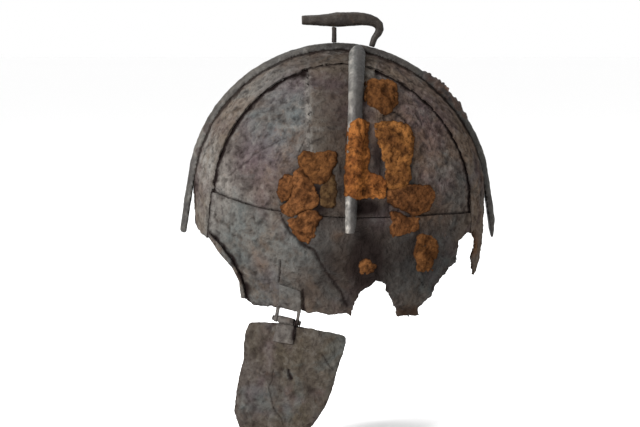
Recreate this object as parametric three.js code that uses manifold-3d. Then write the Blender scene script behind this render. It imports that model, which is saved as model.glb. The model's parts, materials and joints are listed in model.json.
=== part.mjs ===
// An old iron band helmet with one cheek guard, in millimetres, +Z up.
// The helmet faces -X and the wearer's left is -Y. The origin is the centre of the head opening, on the
// widest level of the dome, where the helmet sits on a head.
// A wide band runs from brow to nape, and a band comes down each side of it to a deep brow plate that
// covers the ear. Four infill plates close the dome from the inside. Half-round ridges stand on the bands,
// and their free ends flare away from the dome. A beast-shaped crest stands on top, on a post and on its
// own curled tail.

import * as THREE from "three";
import { mergeVertices } from "three/addons/utils/BufferGeometryUtils.js";
import Module from "manifold-3d";

const wasm = await Module();
wasm.setup();

// Overall size of the dome, over the outside of the bands
const HALF_LENGTH = 116;
const HALF_WIDTH = 91;
const DOME_HEIGHT = 114.3;
// How far the brow plates hang below the widest level
const SKIRT_DEPTH = 84;
// The skirt draws in by this share of the half length and width at its full depth
const SKIRT_DRAW_IN = 0.12;
const SKIRT_DRAW_IN_POWER = 3;
// The dome is an ellipse from the side, a little flatter behind than in front
const FRONT_FULLNESS = 2.0;
const REAR_FULLNESS = 1.87;

// Plates
const BAND_THICKNESS = 2.0;
const INFILL_THICKNESS = 1.5;
const STRIP_THICKNESS = 2.2;
const LEAF_THICKNESS = 1.5;
const CHEEK_THICKNESS = 2.2;
// Air between plates that lie on each other, and the open seam between plates that lie side by side
const LAY_GAP = 0.35;
const SEAM = 0.9;
// How far an infill plate reaches under its neighbours
const LAP = 9;

// Bands
const LONG_BAND_HALF_WIDTH = 44.5;
const LONG_BAND_BROW_HALF_WIDTH = 36;
const BROW_EDGE_DEPTH = 22;
const NAPE_TONGUE_DEPTH = 64;

// Ridges
const RIDGE_WIDTH = 13;
const RIDGE_HEIGHT = 5.6;
const SIDE_RIDGE_TOP_WIDTH = 15;
const SIDE_RIDGE_END_WIDTH = 8.5;
const SIDE_RIDGE_TOP_X = 13.5;
const SIDE_RIDGE_END_X = 2.5;
const RIDGE_TAIL_DEPTH = 31;

// Crest
const CREST_LENGTH = 65.5;
const CREST_CLEARANCE = 11.8;
const CREST_THICKNESS = 12;
const CREST_WIDTH = 11;
const CREST_FRONT_X = -30;
const POST_DIAMETER = 3.6;
const POST_X = -4.2;

// Cheek guard and its hinge
const HINGE_X = -43;
const HINGE_Z = -90;
const HINGE_SLOPE_DEG = 9.5;
const HINGE_STANDOFF = 3.5;
const HANG_DEG = 5.5;
const CHEEK_LENGTH = 101;
const CHEEK_WIDTH = 86;
const CHEEK_CROWN = 3;
const KNUCKLE_LENGTH = 13;
const KNUCKLE_RADIUS = 2.8;
const PIN_RADIUS = 1.3;
const PIN_PLAY = 0.35;
const PIN_HEAD_RADIUS = 2.1;
const PIN_HEAD_LENGTH = 1.2;
const EYE_LENGTH = 2.6;
const EYE_GAP = 0.6;
const FINGER_LENGTH = 10;
const FINGER_LEAN = 0.8;
const HINGE_TAB_REACH = 27;
const HINGE_TAB_WIDTH = 18;
const CHEEK_LEAF_LENGTH = 18;
const CHEEK_LEAF_FLARE = 1.5;

// How finely round shapes are faceted
const TURN_STEPS = 56;
const DOME_STEPS = 15;
const SKIRT_STEPS = 5;
const ROUND_SIDES = 14;

// Outlines, seen from the left. along is a share of HALF_LENGTH from the origin, forwards negative.
// down is a share of SKIRT_DEPTH below the widest level.
const LEFT_RIM = [
  { along: -0.96, down: 0.335 },
  { along: -0.88, down: 0.385 },
  { along: -0.826, down: 0.486 },
  { along: -0.736, down: 0.621 },
  { along: -0.692, down: 0.742 },
  { along: -0.679, down: 0.905 },
  { along: -0.639, down: 0.94 },
  { along: -0.595, down: 0.965 },
  { along: -0.48, down: 0.956 },
  { along: -0.349, down: 0.99 },
  { along: -0.306, down: 0.968 },
  { along: -0.245, down: 1.0 },
  { along: -0.072, down: 1.015 },
  { along: 0.008, down: 0.998 },
  { along: 0.04, down: 1.035 },
  { along: 0.05, down: 0.95 },
  { along: 0.093, down: 0.815 },
  { along: 0.162, down: 0.742 },
  { along: 0.197, down: 0.694 },
  { along: 0.252, down: 0.735 },
  { along: 0.303, down: 0.889 },
  { along: 0.333, down: 0.969 },
  { along: 0.348, down: 1.055 },
  { along: 0.497, down: 1.055 },
  { along: 0.503, down: 0.975 },
  { along: 0.574, down: 0.908 },
  { along: 0.614, down: 0.785 },
  { along: 0.689, down: 0.655 },
  { along: 0.748, down: 0.576 },
  { along: 0.773, down: 0.389 },
  { along: 0.847, down: 0.329 },
  { along: 0.96, down: 0.34 },
];
const RIGHT_RIM = [
  { along: -0.96, down: 0.335 },
  { along: -0.88, down: 0.385 },
  { along: -0.826, down: 0.486 },
  { along: -0.736, down: 0.621 },
  { along: -0.692, down: 0.742 },
  { along: -0.679, down: 0.905 },
  { along: -0.6, down: 0.955 },
  { along: -0.41, down: 0.975 },
  { along: -0.2, down: 0.99 },
  { along: -0.06, down: 0.965 },
  { along: 0.02, down: 0.93 },
  { along: 0.13, down: 0.9 },
  { along: 0.24, down: 0.87 },
  { along: 0.34, down: 0.915 },
  { along: 0.47, down: 0.93 },
  { along: 0.56, down: 0.855 },
  { along: 0.65, down: 0.7 },
  { along: 0.73, down: 0.6 },
  { along: 0.765, down: 0.43 },
  { along: 0.84, down: 0.345 },
  { along: 0.96, down: 0.34 },
];
// The inner edge of the raised strip along the face opening
const STRIP_INNER_EDGE = [
  { along: -0.885, down: 0.315 },
  { along: -0.815, down: 0.405 },
  { along: -0.735, down: 0.545 },
  { along: -0.673, down: 0.7 },
  { along: -0.648, down: 0.863 },
  { along: -0.645, down: 0.902 },
];
// The top edge of the brow plate, higher in front
const BROW_TOP = [
  { along: -0.98, down: -0.085 },
  { along: -0.841, down: -0.056 },
  { along: -0.747, down: -0.013 },
  { along: -0.649, down: 0.021 },
  { along: -0.552, down: 0.054 },
  { along: -0.422, down: 0.079 },
  { along: -0.167, down: 0.117 },
  { along: 0.071, down: 0.13 },
  { along: 0.628, down: 0.127 },
  { along: 0.98, down: 0.147 },
];
// The long band's edge, seen from above: half is a share of LONG_BAND_HALF_WIDTH
const LONG_BAND_EDGE = [
  { along: -1.2, half: 1.0 },
  { along: -0.8, half: 0.99 },
  { along: -0.5, half: 0.88 },
  { along: -0.2, half: 0.81 },
  { along: 0.2, half: 0.81 },
  { along: 0.5, half: 0.89 },
  { along: 0.8, half: 1.0 },
  { along: 1.2, half: 1.0 },
];
// The side bands' edges at these shares of DOME_HEIGHT above the widest level
const SIDE_BAND_EDGES = [
  { up: -0.3, front: -0.228, rear: 0.272 },
  { up: 0.1, front: -0.228, rear: 0.272 },
  { up: 0.5, front: -0.228, rear: 0.254 },
  { up: 1.1, front: -0.228, rear: 0.19 },
];
// The brow's arched edge, seen from the front, from the middle outwards: side is a share of
// LONG_BAND_HALF_WIDTH, down of BROW_EDGE_DEPTH
const BROW_EDGE = [
  { side: 0, down: 1.0 },
  { side: 0.48, down: 1.2 },
  { side: 0.82, down: 1.46 },
  { side: 1.0, down: 1.72 },
];
// The nape's broken edge with its long tongue, from the wearer's left to the right: side is a share of
// LONG_BAND_HALF_WIDTH, down of NAPE_TONGUE_DEPTH
const NAPE_EDGE = [
  { side: -1.0, down: 0.45 },
  { side: -0.87, down: 0.41 },
  { side: -0.83, down: 0.62 },
  { side: -0.88, down: 0.76 },
  { side: -0.7, down: 0.9 },
  { side: -0.5, down: 1.0 },
  { side: -0.33, down: 0.97 },
  { side: -0.27, down: 0.83 },
  { side: -0.02, down: 0.76 },
  { side: 0.09, down: 0.59 },
  { side: 0.3, down: 0.49 },
  { side: 0.66, down: 0.5 },
  { side: 1.0, down: 0.45 },
];
// The section of a ridge: shares of its half width and of its height
const RIDGE_SECTION = [
  { side: -1, up: 0 },
  { side: -0.9, up: 0.5 },
  { side: -0.48, up: 0.9 },
  { side: 0, up: 1 },
  { side: 0.48, up: 0.9 },
  { side: 0.9, up: 0.5 },
  { side: 1, up: 0 },
];
// The free tails of the ridges: depth is a share of RIDGE_TAIL_DEPTH, away of RIDGE_HEIGHT and size of the
// full section
const FRONT_TAIL = [
  { depth: 0.1, away: 0.38, size: 1 },
  { depth: 0.55, away: 0.75, size: 1 },
  { depth: 0.93, away: 1.1, size: 0.97 },
  { depth: 1.0, away: 1.2, size: 0.7 },
];
const REAR_TAIL = [
  { depth: 0.2, away: 0.33, size: 1 },
  { depth: 0.7, away: 0.75, size: 0.98 },
  { depth: 1.0, away: 0.95, size: 0.72 },
  { depth: 1.18, away: 1.2, size: 0.3 },
];
const SIDE_TAIL = [
  { depth: 0.05, away: 0.25, size: 1 },
  { depth: 0.42, away: 0.6, size: 1 },
  { depth: 0.68, away: 0.95, size: 0.85 },
];
// Where the ridges leave the dome, as a share of DOME_HEIGHT
const TAIL_START = 0.14;

// The crest beast, snout first. along is a share of CREST_LENGTH from the snout, up of CREST_CLEARANCE
// above the ridge, thick of CREST_THICKNESS and wide of CREST_WIDTH.
const CREST_BODY = [
  { along: 0.0, up: 1.48, thick: 0.6, wide: 0.55 },
  { along: 0.03, up: 1.48, thick: 0.63, wide: 0.62 },
  { along: 0.2, up: 1.47, thick: 0.73, wide: 0.78 },
  { along: 0.33, up: 1.49, thick: 0.86, wide: 0.92 },
  { along: 0.43, up: 1.52, thick: 1.0, wide: 1.0 },
  { along: 0.52, up: 1.54, thick: 0.96, wide: 1.0 },
  { along: 0.63, up: 1.56, thick: 0.92, wide: 0.95 },
  { along: 0.74, up: 1.56, thick: 0.86, wide: 0.86 },
  { along: 0.83, up: 1.49, thick: 0.78, wide: 0.78 },
  { along: 0.89, up: 1.36, thick: 0.7, wide: 0.7 },
  { along: 0.935, up: 1.14, thick: 0.64, wide: 0.62 },
  { along: 0.947, up: 0.86, thick: 0.58, wide: 0.56 },
  { along: 0.925, up: 0.58, thick: 0.52, wide: 0.5 },
  { along: 0.885, up: 0.3, thick: 0.45, wide: 0.46 },
  { along: 0.84, up: -0.4, thick: 0.4, wide: 0.44 },
];

// The helmet's hinge tab, seen from outside: along is a share of half HINGE_TAB_WIDTH from the middle of the
// pin, up of HINGE_TAB_REACH above it
const HINGE_TAB = [
  { along: -0.96, up: 1.0 },
  { along: 0.89, up: 0.93 },
  { along: 1.07, up: 0.28 },
  { along: -0.96, up: 0.31 },
];
// The cheek guard seen from the left: across is a share of CHEEK_WIDTH from the hinge, down of CHEEK_LENGTH
const CHEEK_OUTLINE = [
  { across: -0.327, down: 0.032 },
  { across: -0.145, down: 0.026 },
  { across: -0.063, down: 0.022 },
  { across: 0.073, down: 0.036 },
  { across: 0.184, down: 0.052 },
  { across: 0.386, down: 0.074 },
  { across: 0.505, down: 0.098 },
  { across: 0.523, down: 0.129 },
  { across: 0.494, down: 0.223 },
  { across: 0.434, down: 0.384 },
  { across: 0.408, down: 0.501 },
  { across: 0.365, down: 0.611 },
  { across: 0.305, down: 0.699 },
  { across: 0.212, down: 0.818 },
  { across: 0.081, down: 0.921 },
  { across: -0.053, down: 0.985 },
  { across: -0.185, down: 1.0 },
  { across: -0.302, down: 0.96 },
  { across: -0.383, down: 0.886 },
  { across: -0.421, down: 0.812 },
  { across: -0.452, down: 0.722 },
  { across: -0.438, down: 0.567 },
  { across: -0.42, down: 0.444 },
  { across: -0.382, down: 0.319 },
  { across: -0.38, down: 0.202 },
  { across: -0.37, down: 0.115 },
  { across: -0.343, down: 0.045 },
];

// Plain finishes
const ironFinish = (name, color, roughness) =>
  new THREE.MeshStandardMaterial({ name, color, roughness, metalness: 0.35 });
const PLATE_FINISH = ironFinish("plate", 0x5d5751, 0.85);
const BAND_FINISH = ironFinish("band", 0x6b625b, 0.82);
const RIDGE_FINISH = ironFinish("ridge", 0x55564f, 0.7);
const CREST_FINISH = ironFinish("crest", 0x4d443d, 0.65);
const HINGE_FINISH = ironFinish("hinge", 0x5f5952, 0.75);

// A closed geometry as a solid, with its faces turned outwards
function solidOf(geometry) {
  const loose = geometry.index ? geometry.toNonIndexed() : geometry;
  const bare = new THREE.BufferGeometry();
  bare.setAttribute("position", loose.getAttribute("position"));
  const merged = mergeVertices(bare, 1e-4);
  const vertProperties = new Float32Array(merged.attributes.position.array);
  const triVerts = new Uint32Array(merged.index.array);
  const build = () => new wasm.Manifold(new wasm.Mesh({ numProp: 3, vertProperties, triVerts }));
  const solid = build();
  if (solid.volume() >= 0) return solid;
  for (let i = 0; i < triVerts.length; i += 3) {
    [triVerts[i + 1], triVerts[i + 2]] = [triVerts[i + 2], triVerts[i + 1]];
  }
  return build();
}

// A solid as a geometry again
function geometryOf(solid) {
  const mesh = solid.getMesh();
  const geometry = new THREE.BufferGeometry();
  geometry.setAttribute("position", new THREE.BufferAttribute(mesh.vertProperties, 3));
  geometry.setIndex(new THREE.BufferAttribute(mesh.triVerts, 1));
  geometry.computeVertexNormals();
  return geometry;
}

// The same solid on the wearer's other side
function mirrored(solid) {
  const geometry = geometryOf(solid);
  geometry.scale(1, -1, 1);
  return solidOf(geometry);
}

// The same solid, lifted by a height
function lifted(solid, height) {
  const geometry = geometryOf(solid);
  geometry.translate(0, 0, height);
  return solidOf(geometry);
}

// The largest body of a cut solid
const largest = (solid) => solid.decompose().sort((a, b) => b.volume() - a.volume())[0];

// A closed skin through rings of points. Each ring is flat and convex, and a ring of one point is a tip.
function loft(rings) {
  const places = [];
  const face = (a, b, c) => places.push(...a.toArray(), ...b.toArray(), ...c.toArray());
  const cap = (ring, turned) => {
    if (ring.length < 3) return;
    const centre = new THREE.Vector3();
    ring.forEach((p) => centre.addScaledVector(p, 1 / ring.length));
    ring.forEach((p, i) => {
      const next = ring[(i + 1) % ring.length];
      if (turned) face(centre, next, p);
      else face(centre, p, next);
    });
  };
  cap(rings[0], true);
  cap(rings[rings.length - 1], false);
  for (let k = 0; k + 1 < rings.length; k += 1) {
    const low = rings[k];
    const high = rings[k + 1];
    const count = Math.max(low.length, high.length);
    for (let i = 0; i < count; i += 1) {
      const j = (i + 1) % count;
      const tip = high.length === 1 || low.length === 1;
      if (high.length === 1) face(low[i], low[j], high[0]);
      if (low.length === 1) face(low[0], high[j], high[i]);
      if (tip) continue;
      face(low[i], low[j], high[j]);
      face(low[i], high[j], high[i]);
    }
  }
  const geometry = new THREE.BufferGeometry();
  geometry.setAttribute("position", new THREE.Float32BufferAttribute(places, 3));
  return solidOf(geometry);
}

// The share of its full half length and width that the dome has at a height, towards a plan angle
function domeReach(z, height, plan) {
  if (z < 0) return 1 - SKIRT_DRAW_IN * Math.pow(-z / SKIRT_DEPTH, SKIRT_DRAW_IN_POWER);
  const middle = (FRONT_FULLNESS + REAR_FULLNESS) / 2;
  const power = middle + ((REAR_FULLNESS - FRONT_FULLNESS) / 2) * Math.cos(plan);
  return Math.pow(Math.max(0, 1 - Math.pow(z / height, power)), 1 / power);
}

// A point on the dome, offset outwards from the outside of the bands. Plan angle 0 is behind.
function domePoint(plan, z, offset) {
  const reach = domeReach(z, DOME_HEIGHT + offset, plan);
  const x = (HALF_LENGTH + offset) * reach * Math.cos(plan);
  const y = (HALF_WIDTH + offset) * reach * Math.sin(plan);
  return new THREE.Vector3(x, y, z);
}

// The heights of the dome's rings, the same ones for every layer
function domeHeights(offset) {
  const lowest = -1.25 * SKIRT_DEPTH;
  const heights = [];
  for (let k = 0; k < SKIRT_STEPS; k += 1) heights.push(lowest * (1 - k / SKIRT_STEPS));
  for (let k = 0; k < DOME_STEPS; k += 1) {
    heights.push((DOME_HEIGHT + offset) * Math.sin((k / DOME_STEPS) * (Math.PI / 2)));
  }
  return heights;
}

// The whole dome and skirt as one full solid
function domeSolid(offset) {
  const rings = domeHeights(offset).map((z) => {
    const ring = [];
    for (let i = 0; i < TURN_STEPS; i += 1) {
      ring.push(domePoint((i / TURN_STEPS) * 2 * Math.PI, z, offset));
    }
    return ring;
  });
  rings.push([new THREE.Vector3(0, 0, DOME_HEIGHT + offset)]);
  return loft(rings);
}

// A hollow layer of the dome between two offsets
const domeLayer = (inner, outer) => domeSolid(outer).subtract(domeSolid(inner));

// An outline pushed through space: its points lie along right and up from a centre
function prism(points, right, up, start, length, centre = new THREE.Vector3()) {
  const shape = new THREE.Shape(points.map(([a, b]) => new THREE.Vector2(a, b)));
  const geometry = new THREE.ExtrudeGeometry(shape, { depth: length, bevelEnabled: false });
  const through = new THREE.Vector3().crossVectors(right, up);
  const matrix = new THREE.Matrix4().makeBasis(right, up, through);
  matrix.setPosition(centre.clone().addScaledVector(through, start));
  return solidOf(geometry.applyMatrix4(matrix));
}

const X = new THREE.Vector3(1, 0, 0);
const Y = new THREE.Vector3(0, 1, 0);
const Z = new THREE.Vector3(0, 0, 1);
const FAR = 2 * HALF_LENGTH;

// An outline in x and z, cut through the left half, beyond a distance from the middle plane
const leftPrism = (points, from = 0) => prism(points, X, Z, from, FAR);
// An outline in y and z, cut through the front half or the rear half. The halves overlap in the middle.
const frontPrism = (points) => prism(points, Y, Z, -FAR, FAR + SEAM);
const rearPrism = (points) => prism(points, Y, Z, -SEAM, FAR + SEAM);

// Outline rows as points in millimetres
const rimPoints = (rows) => rows.map((r) => [r.along * HALF_LENGTH, -r.down * SKIRT_DEPTH]);
const browTopPoints = (lower) => rimPoints(BROW_TOP).map(([x, z]) => [x, z - lower]);

// The two main layers
const BAND_INNER = -BAND_THICKNESS;
const INFILL_OUTER = BAND_INNER - LAY_GAP;
const INFILL_INNER = INFILL_OUTER - INFILL_THICKNESS;
const bandLayer = domeLayer(BAND_INNER, 0);
const infillLayer = domeLayer(INFILL_INNER, INFILL_OUTER);

// The space that the long band takes, wider by a margin on each side. It narrows below the brow.
function longBandSpace(margin) {
  const edge = LONG_BAND_EDGE.map((r) => [r.along * HALF_LENGTH, r.half * LONG_BAND_HALF_WIDTH + margin]);
  const mirror = edge.map(([x, y]) => [x, -y]).reverse();
  const fromAbove = prism([...edge, ...mirror], X, Y, -FAR, 2 * FAR);
  const brow = LONG_BAND_BROW_HALF_WIDTH + margin;
  const browLevel = -1.4 * BROW_EDGE_DEPTH;
  const widestLevel = 0.1 * DOME_HEIGHT;
  const front = frontPrism([
    [-brow, -FAR],
    [brow, -FAR],
    [brow, browLevel],
    [LONG_BAND_HALF_WIDTH + margin, widestLevel],
    [FAR, widestLevel],
    [FAR, FAR],
    [-FAR, FAR],
    [-FAR, widestLevel],
    [-LONG_BAND_HALF_WIDTH - margin, widestLevel],
    [-brow, browLevel],
  ]);
  const rear = rearPrism([
    [-FAR, -FAR],
    [FAR, -FAR],
    [FAR, FAR],
    [-FAR, FAR],
  ]);
  return fromAbove.intersect(front.add(rear));
}

// Long band from brow to nape, with the arched brow edge and the broken tongue at the nape
function longBand() {
  const half = LONG_BAND_HALF_WIDTH;
  const right = BROW_EDGE.map((r) => [r.side * half, -r.down * BROW_EDGE_DEPTH]);
  const left = right.slice(1).map(([y, z]) => [-y, z]);
  const above = (edge) => {
    const start = [-FAR, edge[0][1]];
    const end = [FAR, edge[edge.length - 1][1]];
    return [start, ...edge, end, [FAR, FAR], [-FAR, FAR]];
  };
  const brow = frontPrism(above([...left.reverse(), ...right]));
  const nape = rearPrism(above(NAPE_EDGE.map((r) => [r.side * half, -r.down * NAPE_TONGUE_DEPTH])));
  return bandLayer.intersect(longBandSpace(0)).intersect(brow.add(nape));
}

// The side band that comes down from the long band to the brow plate
function sideBand() {
  const edge = (side) => SIDE_BAND_EDGES.map((r) => [r[side] * HALF_LENGTH, r.up * DOME_HEIGHT]);
  const outline = leftPrism([...edge("front"), ...edge("rear").reverse()]);
  const aboveBrow = leftPrism([...browTopPoints(-SEAM), [HALF_LENGTH, FAR], [-HALF_LENGTH, FAR]]);
  return bandLayer.intersect(outline).intersect(aboveBrow).subtract(longBandSpace(SEAM));
}

// The deep plate below the dome on one side, with the broken lower edge
function browPlate(rim) {
  const outline = [...browTopPoints(0), ...rimPoints(rim).reverse()];
  return bandLayer.intersect(leftPrism(outline)).subtract(longBandSpace(SEAM));
}

// A quarter of the dome behind the bands. end is -1 in front and 1 behind.
function infillPlate(end) {
  const bandEdge = end * SIDE_BAND_EDGES[end < 0 ? 1 : 3][end < 0 ? "front" : "rear"] * HALF_LENGTH;
  const inner = end * (bandEdge - LAP);
  const outer = end * FAR;
  const corners = [
    [inner, FAR],
    [inner, -FAR],
    [outer, -FAR],
    [outer, FAR],
  ];
  const outline = leftPrism(corners, LONG_BAND_HALF_WIDTH - LAP);
  const aboveBrow = leftPrism([...browTopPoints(LAP), [FAR, FAR], [-FAR, FAR]]);
  return infillLayer.intersect(outline).intersect(aboveBrow);
}

// The raised strip along the face opening
function faceStrip() {
  const rim = rimPoints(LEFT_RIM.slice(1, 6));
  const inner = rimPoints(STRIP_INNER_EDGE).reverse();
  const layer = domeLayer(LAY_GAP, LAY_GAP + STRIP_THICKNESS);
  return layer.intersect(leftPrism([...rim, ...inner]));
}

// The half-round section of a ridge, across side and outwards along out
function ridgeRing(base, side, out, width, height) {
  return RIDGE_SECTION.map((r) =>
    base
      .clone()
      .addScaledVector(side, (r.side * width) / 2)
      .addScaledVector(out, r.up * height),
  );
}

// The long ridge over the long band, with both free tails
function longRidge() {
  const ringsAt = (end, tail) => {
    const plan = end > 0 ? 0 : Math.PI;
    const outwards = X.clone().multiplyScalar(end);
    const rings = [];
    [...tail].reverse().forEach((r) => {
      const base = domePoint(plan, 0, LAY_GAP + r.away * RIDGE_HEIGHT);
      base.z = -r.depth * RIDGE_TAIL_DEPTH;
      rings.push(ridgeRing(base, Y, outwards, RIDGE_WIDTH * r.size, RIDGE_HEIGHT * r.size));
    });
    domeHeights(LAY_GAP).forEach((z) => {
      if (z < TAIL_START * DOME_HEIGHT) return;
      const base = domePoint(plan, z, LAY_GAP);
      const slope = domePoint(plan, z + 0.05, LAY_GAP).sub(domePoint(plan, z - 0.05, LAY_GAP));
      const out = new THREE.Vector3(slope.z, 0, -slope.x).normalize();
      if (out.x * end < 0) out.negate();
      rings.push(ridgeRing(base, Y, out, RIDGE_WIDTH, RIDGE_HEIGHT));
    });
    return rings;
  };
  const top = ridgeRing(new THREE.Vector3(0, 0, DOME_HEIGHT + LAY_GAP), Y, Z, RIDGE_WIDTH, RIDGE_HEIGHT);
  return loft([...ringsAt(-1, FRONT_TAIL), top, ...ringsAt(1, REAR_TAIL).reverse()]);
}

// The left side ridge, from the long ridge down to its free tail
function sideRidge() {
  const firstTurn = Math.acos((SIDE_RIDGE_TOP_X * 1.17) / HALF_LENGTH);
  const lastTurn = Math.asin(TAIL_START);
  const steps = DOME_STEPS;
  const places = [];
  const across = (share) => THREE.MathUtils.lerp(SIDE_RIDGE_TOP_X, SIDE_RIDGE_END_X, share);
  const onDome = (x, z, away) => {
    const offset = LAY_GAP + away;
    const reach = domeReach(z, DOME_HEIGHT + offset, Math.PI / 2);
    const long = (HALF_LENGTH + offset) * reach;
    const wide = (HALF_WIDTH + offset) * reach;
    return new THREE.Vector3(x, -wide * Math.sqrt(Math.max(0, 1 - (x / long) ** 2)), z);
  };
  for (let k = 0; k <= steps; k += 1) {
    const turn = THREE.MathUtils.lerp(firstTurn, lastTurn, k / steps);
    const share = (0.85 * k) / steps;
    const base = onDome(across(share), DOME_HEIGHT * Math.sin(turn), 0);
    const out = new THREE.Vector3(
      base.x / HALF_LENGTH ** 2,
      base.y / HALF_WIDTH ** 2,
      base.z / DOME_HEIGHT ** 2,
    ).normalize();
    places.push({ base, out, share, size: 1 });
  }
  SIDE_TAIL.forEach((r, k) => {
    const share = 0.85 + (0.15 * (k + 1)) / SIDE_TAIL.length;
    const base = onDome(across(share), 0, r.away * RIDGE_HEIGHT);
    base.z = -r.depth * RIDGE_TAIL_DEPTH;
    places.push({ base, out: Y.clone().negate(), share, size: r.size });
  });
  const rings = places.map(({ base, out, share, size }) => {
    const width = THREE.MathUtils.lerp(SIDE_RIDGE_TOP_WIDTH, SIDE_RIDGE_END_WIDTH, share);
    const side = new THREE.Vector3().crossVectors(out, Z).normalize();
    return ridgeRing(base, side, out, width * size, RIDGE_HEIGHT * size);
  });
  const besideLongRidge = leftPrism(
    [
      [-FAR, -FAR],
      [FAR, -FAR],
      [FAR, FAR],
      [-FAR, FAR],
    ],
    RIDGE_WIDTH / 2 + LAY_GAP,
  );
  return loft(rings).intersect(besideLongRidge);
}

// The height of the long ridge's top above a place along the helmet
function ridgeTop(x) {
  const share = Math.abs(x) / (HALF_LENGTH + LAY_GAP + RIDGE_HEIGHT);
  const power = x > 0 ? REAR_FULLNESS : FRONT_FULLNESS;
  return (DOME_HEIGHT + LAY_GAP + RIDGE_HEIGHT) * Math.pow(1 - Math.pow(share, power), 1 / power);
}

// The crest beast: a body of oval sections whose tail curls down and ends on the ridge
function crestBeast(ridge) {
  const floor = ridgeTop(0);
  const places = CREST_BODY.map((r) => {
    const x = CREST_FRONT_X + r.along * CREST_LENGTH;
    return new THREE.Vector3(x, 0, floor + r.up * CREST_CLEARANCE);
  });
  const rings = CREST_BODY.map((r, k) => {
    const before = places[Math.max(0, k - 1)];
    const after = places[Math.min(places.length - 1, k + 1)];
    const run = after.clone().sub(before).normalize();
    const last = k === CREST_BODY.length - 1;
    const up = last ? X.clone() : new THREE.Vector3(-run.z, 0, run.x);
    const ring = [];
    for (let i = 0; i < ROUND_SIDES; i += 1) {
      const turn = (i / ROUND_SIDES) * 2 * Math.PI;
      ring.push(
        places[k]
          .clone()
          .addScaledVector(up, (Math.cos(turn) * r.thick * CREST_THICKNESS) / 2)
          .addScaledVector(Y, (Math.sin(turn) * r.wide * CREST_WIDTH) / 2),
      );
    }
    return ring;
  });
  return largest(loft(rings).subtract(lifted(ridge, LAY_GAP)).subtract(ridge));
}

// The straight post between the ridge and the beast's belly
function crestPost(ridge, beast) {
  const radius = POST_DIAMETER / 2;
  const low = ridgeTop(POST_X) - LAY_GAP;
  const high = low + 1.6 * CREST_CLEARANCE;
  const ringAt = (z, size) => {
    const ring = [];
    for (let i = 0; i < ROUND_SIDES; i += 1) {
      const turn = (i / ROUND_SIDES) * 2 * Math.PI;
      const reach = radius * size;
      ring.push(new THREE.Vector3(POST_X + reach * Math.cos(turn), reach * Math.sin(turn), z));
    }
    return ring;
  };
  const post = loft([ringAt(low, 1.25), ringAt(low + radius, 1), ringAt(high, 1.1)]);
  const aboveRidge = post.subtract(lifted(ridge, LAY_GAP)).subtract(ridge);
  return largest(aboveRidge.subtract(lifted(beast, -LAY_GAP)).subtract(beast));
}

// The hinge axis lies along the skirt, below its edge
const hingeReach = 1 - SKIRT_DRAW_IN;
const hingeLong = HALF_LENGTH * hingeReach;
const hingeWide = HALF_WIDTH * hingeReach;
const hingeWall = -hingeWide * Math.sqrt(1 - (HINGE_X / hingeLong) ** 2);
const hingeOut = new THREE.Vector3(HINGE_X / hingeLong ** 2, hingeWall / hingeWide ** 2, 0).normalize();
const hingeCentre = new THREE.Vector3(HINGE_X, hingeWall, HINGE_Z).addScaledVector(hingeOut, HINGE_STANDOFF);
const hingeLevel = new THREE.Vector3(-hingeOut.y, hingeOut.x, 0);
const hingeSlope = THREE.MathUtils.degToRad(HINGE_SLOPE_DEG);
const hingeAxis = hingeLevel.clone().applyAxisAngle(hingeOut, -hingeSlope);
const hingeUp = new THREE.Vector3().crossVectors(hingeOut, hingeAxis);

// An outline along the hinge axis and up from it, cut through the wall beside the hinge
const hingePrism = (points) =>
  prism(points, hingeAxis, hingeUp, -CHEEK_LEAF_LENGTH, 2 * CHEEK_LEAF_LENGTH, hingeCentre);

// A round bar along the hinge axis, from one place along it to another
function hingeBar(radius, from, to) {
  const ringAt = (along) => {
    const ring = [];
    for (let i = 0; i < ROUND_SIDES; i += 1) {
      const turn = (i / ROUND_SIDES) * 2 * Math.PI;
      ring.push(
        hingeCentre
          .clone()
          .addScaledVector(hingeAxis, along)
          .addScaledVector(hingeOut, radius * Math.cos(turn))
          .addScaledVector(hingeUp, radius * Math.sin(turn)),
      );
    }
    return ring;
  };
  return loft([ringAt(from), ringAt(to)]);
}

// The wall that the cheek guard follows: the skirt's own plan, straight down, with a slight crown
function cheekWall(offset) {
  const rings = [];
  const steps = 6;
  for (let k = 0; k <= steps; k += 1) {
    const down = (k / steps) * 1.3 - 0.15;
    const crown = CHEEK_CROWN * (1 - (2 * down - 1) ** 2);
    const ring = [];
    for (let i = 0; i < TURN_STEPS; i += 1) {
      const plan = (i / TURN_STEPS) * 2 * Math.PI;
      const x = (hingeLong + offset + crown) * Math.cos(plan);
      const y = (hingeWide + offset + crown) * Math.sin(plan);
      ring.push(new THREE.Vector3(x, y, HINGE_Z - down * CHEEK_LENGTH));
    }
    rings.push(ring);
  }
  return loft(rings);
}
const cheekLayer = (inner, outer) => cheekWall(outer).subtract(cheekWall(inner));

// The cheek guard, a plate that hangs below the hinge
function cheekGuard() {
  const outline = CHEEK_OUTLINE.map((r) => [
    HINGE_X + r.across * CHEEK_WIDTH,
    HINGE_Z - r.down * CHEEK_LENGTH,
  ]);
  return cheekLayer(-CHEEK_THICKNESS, 0).intersect(leftPrism(outline));
}

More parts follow.
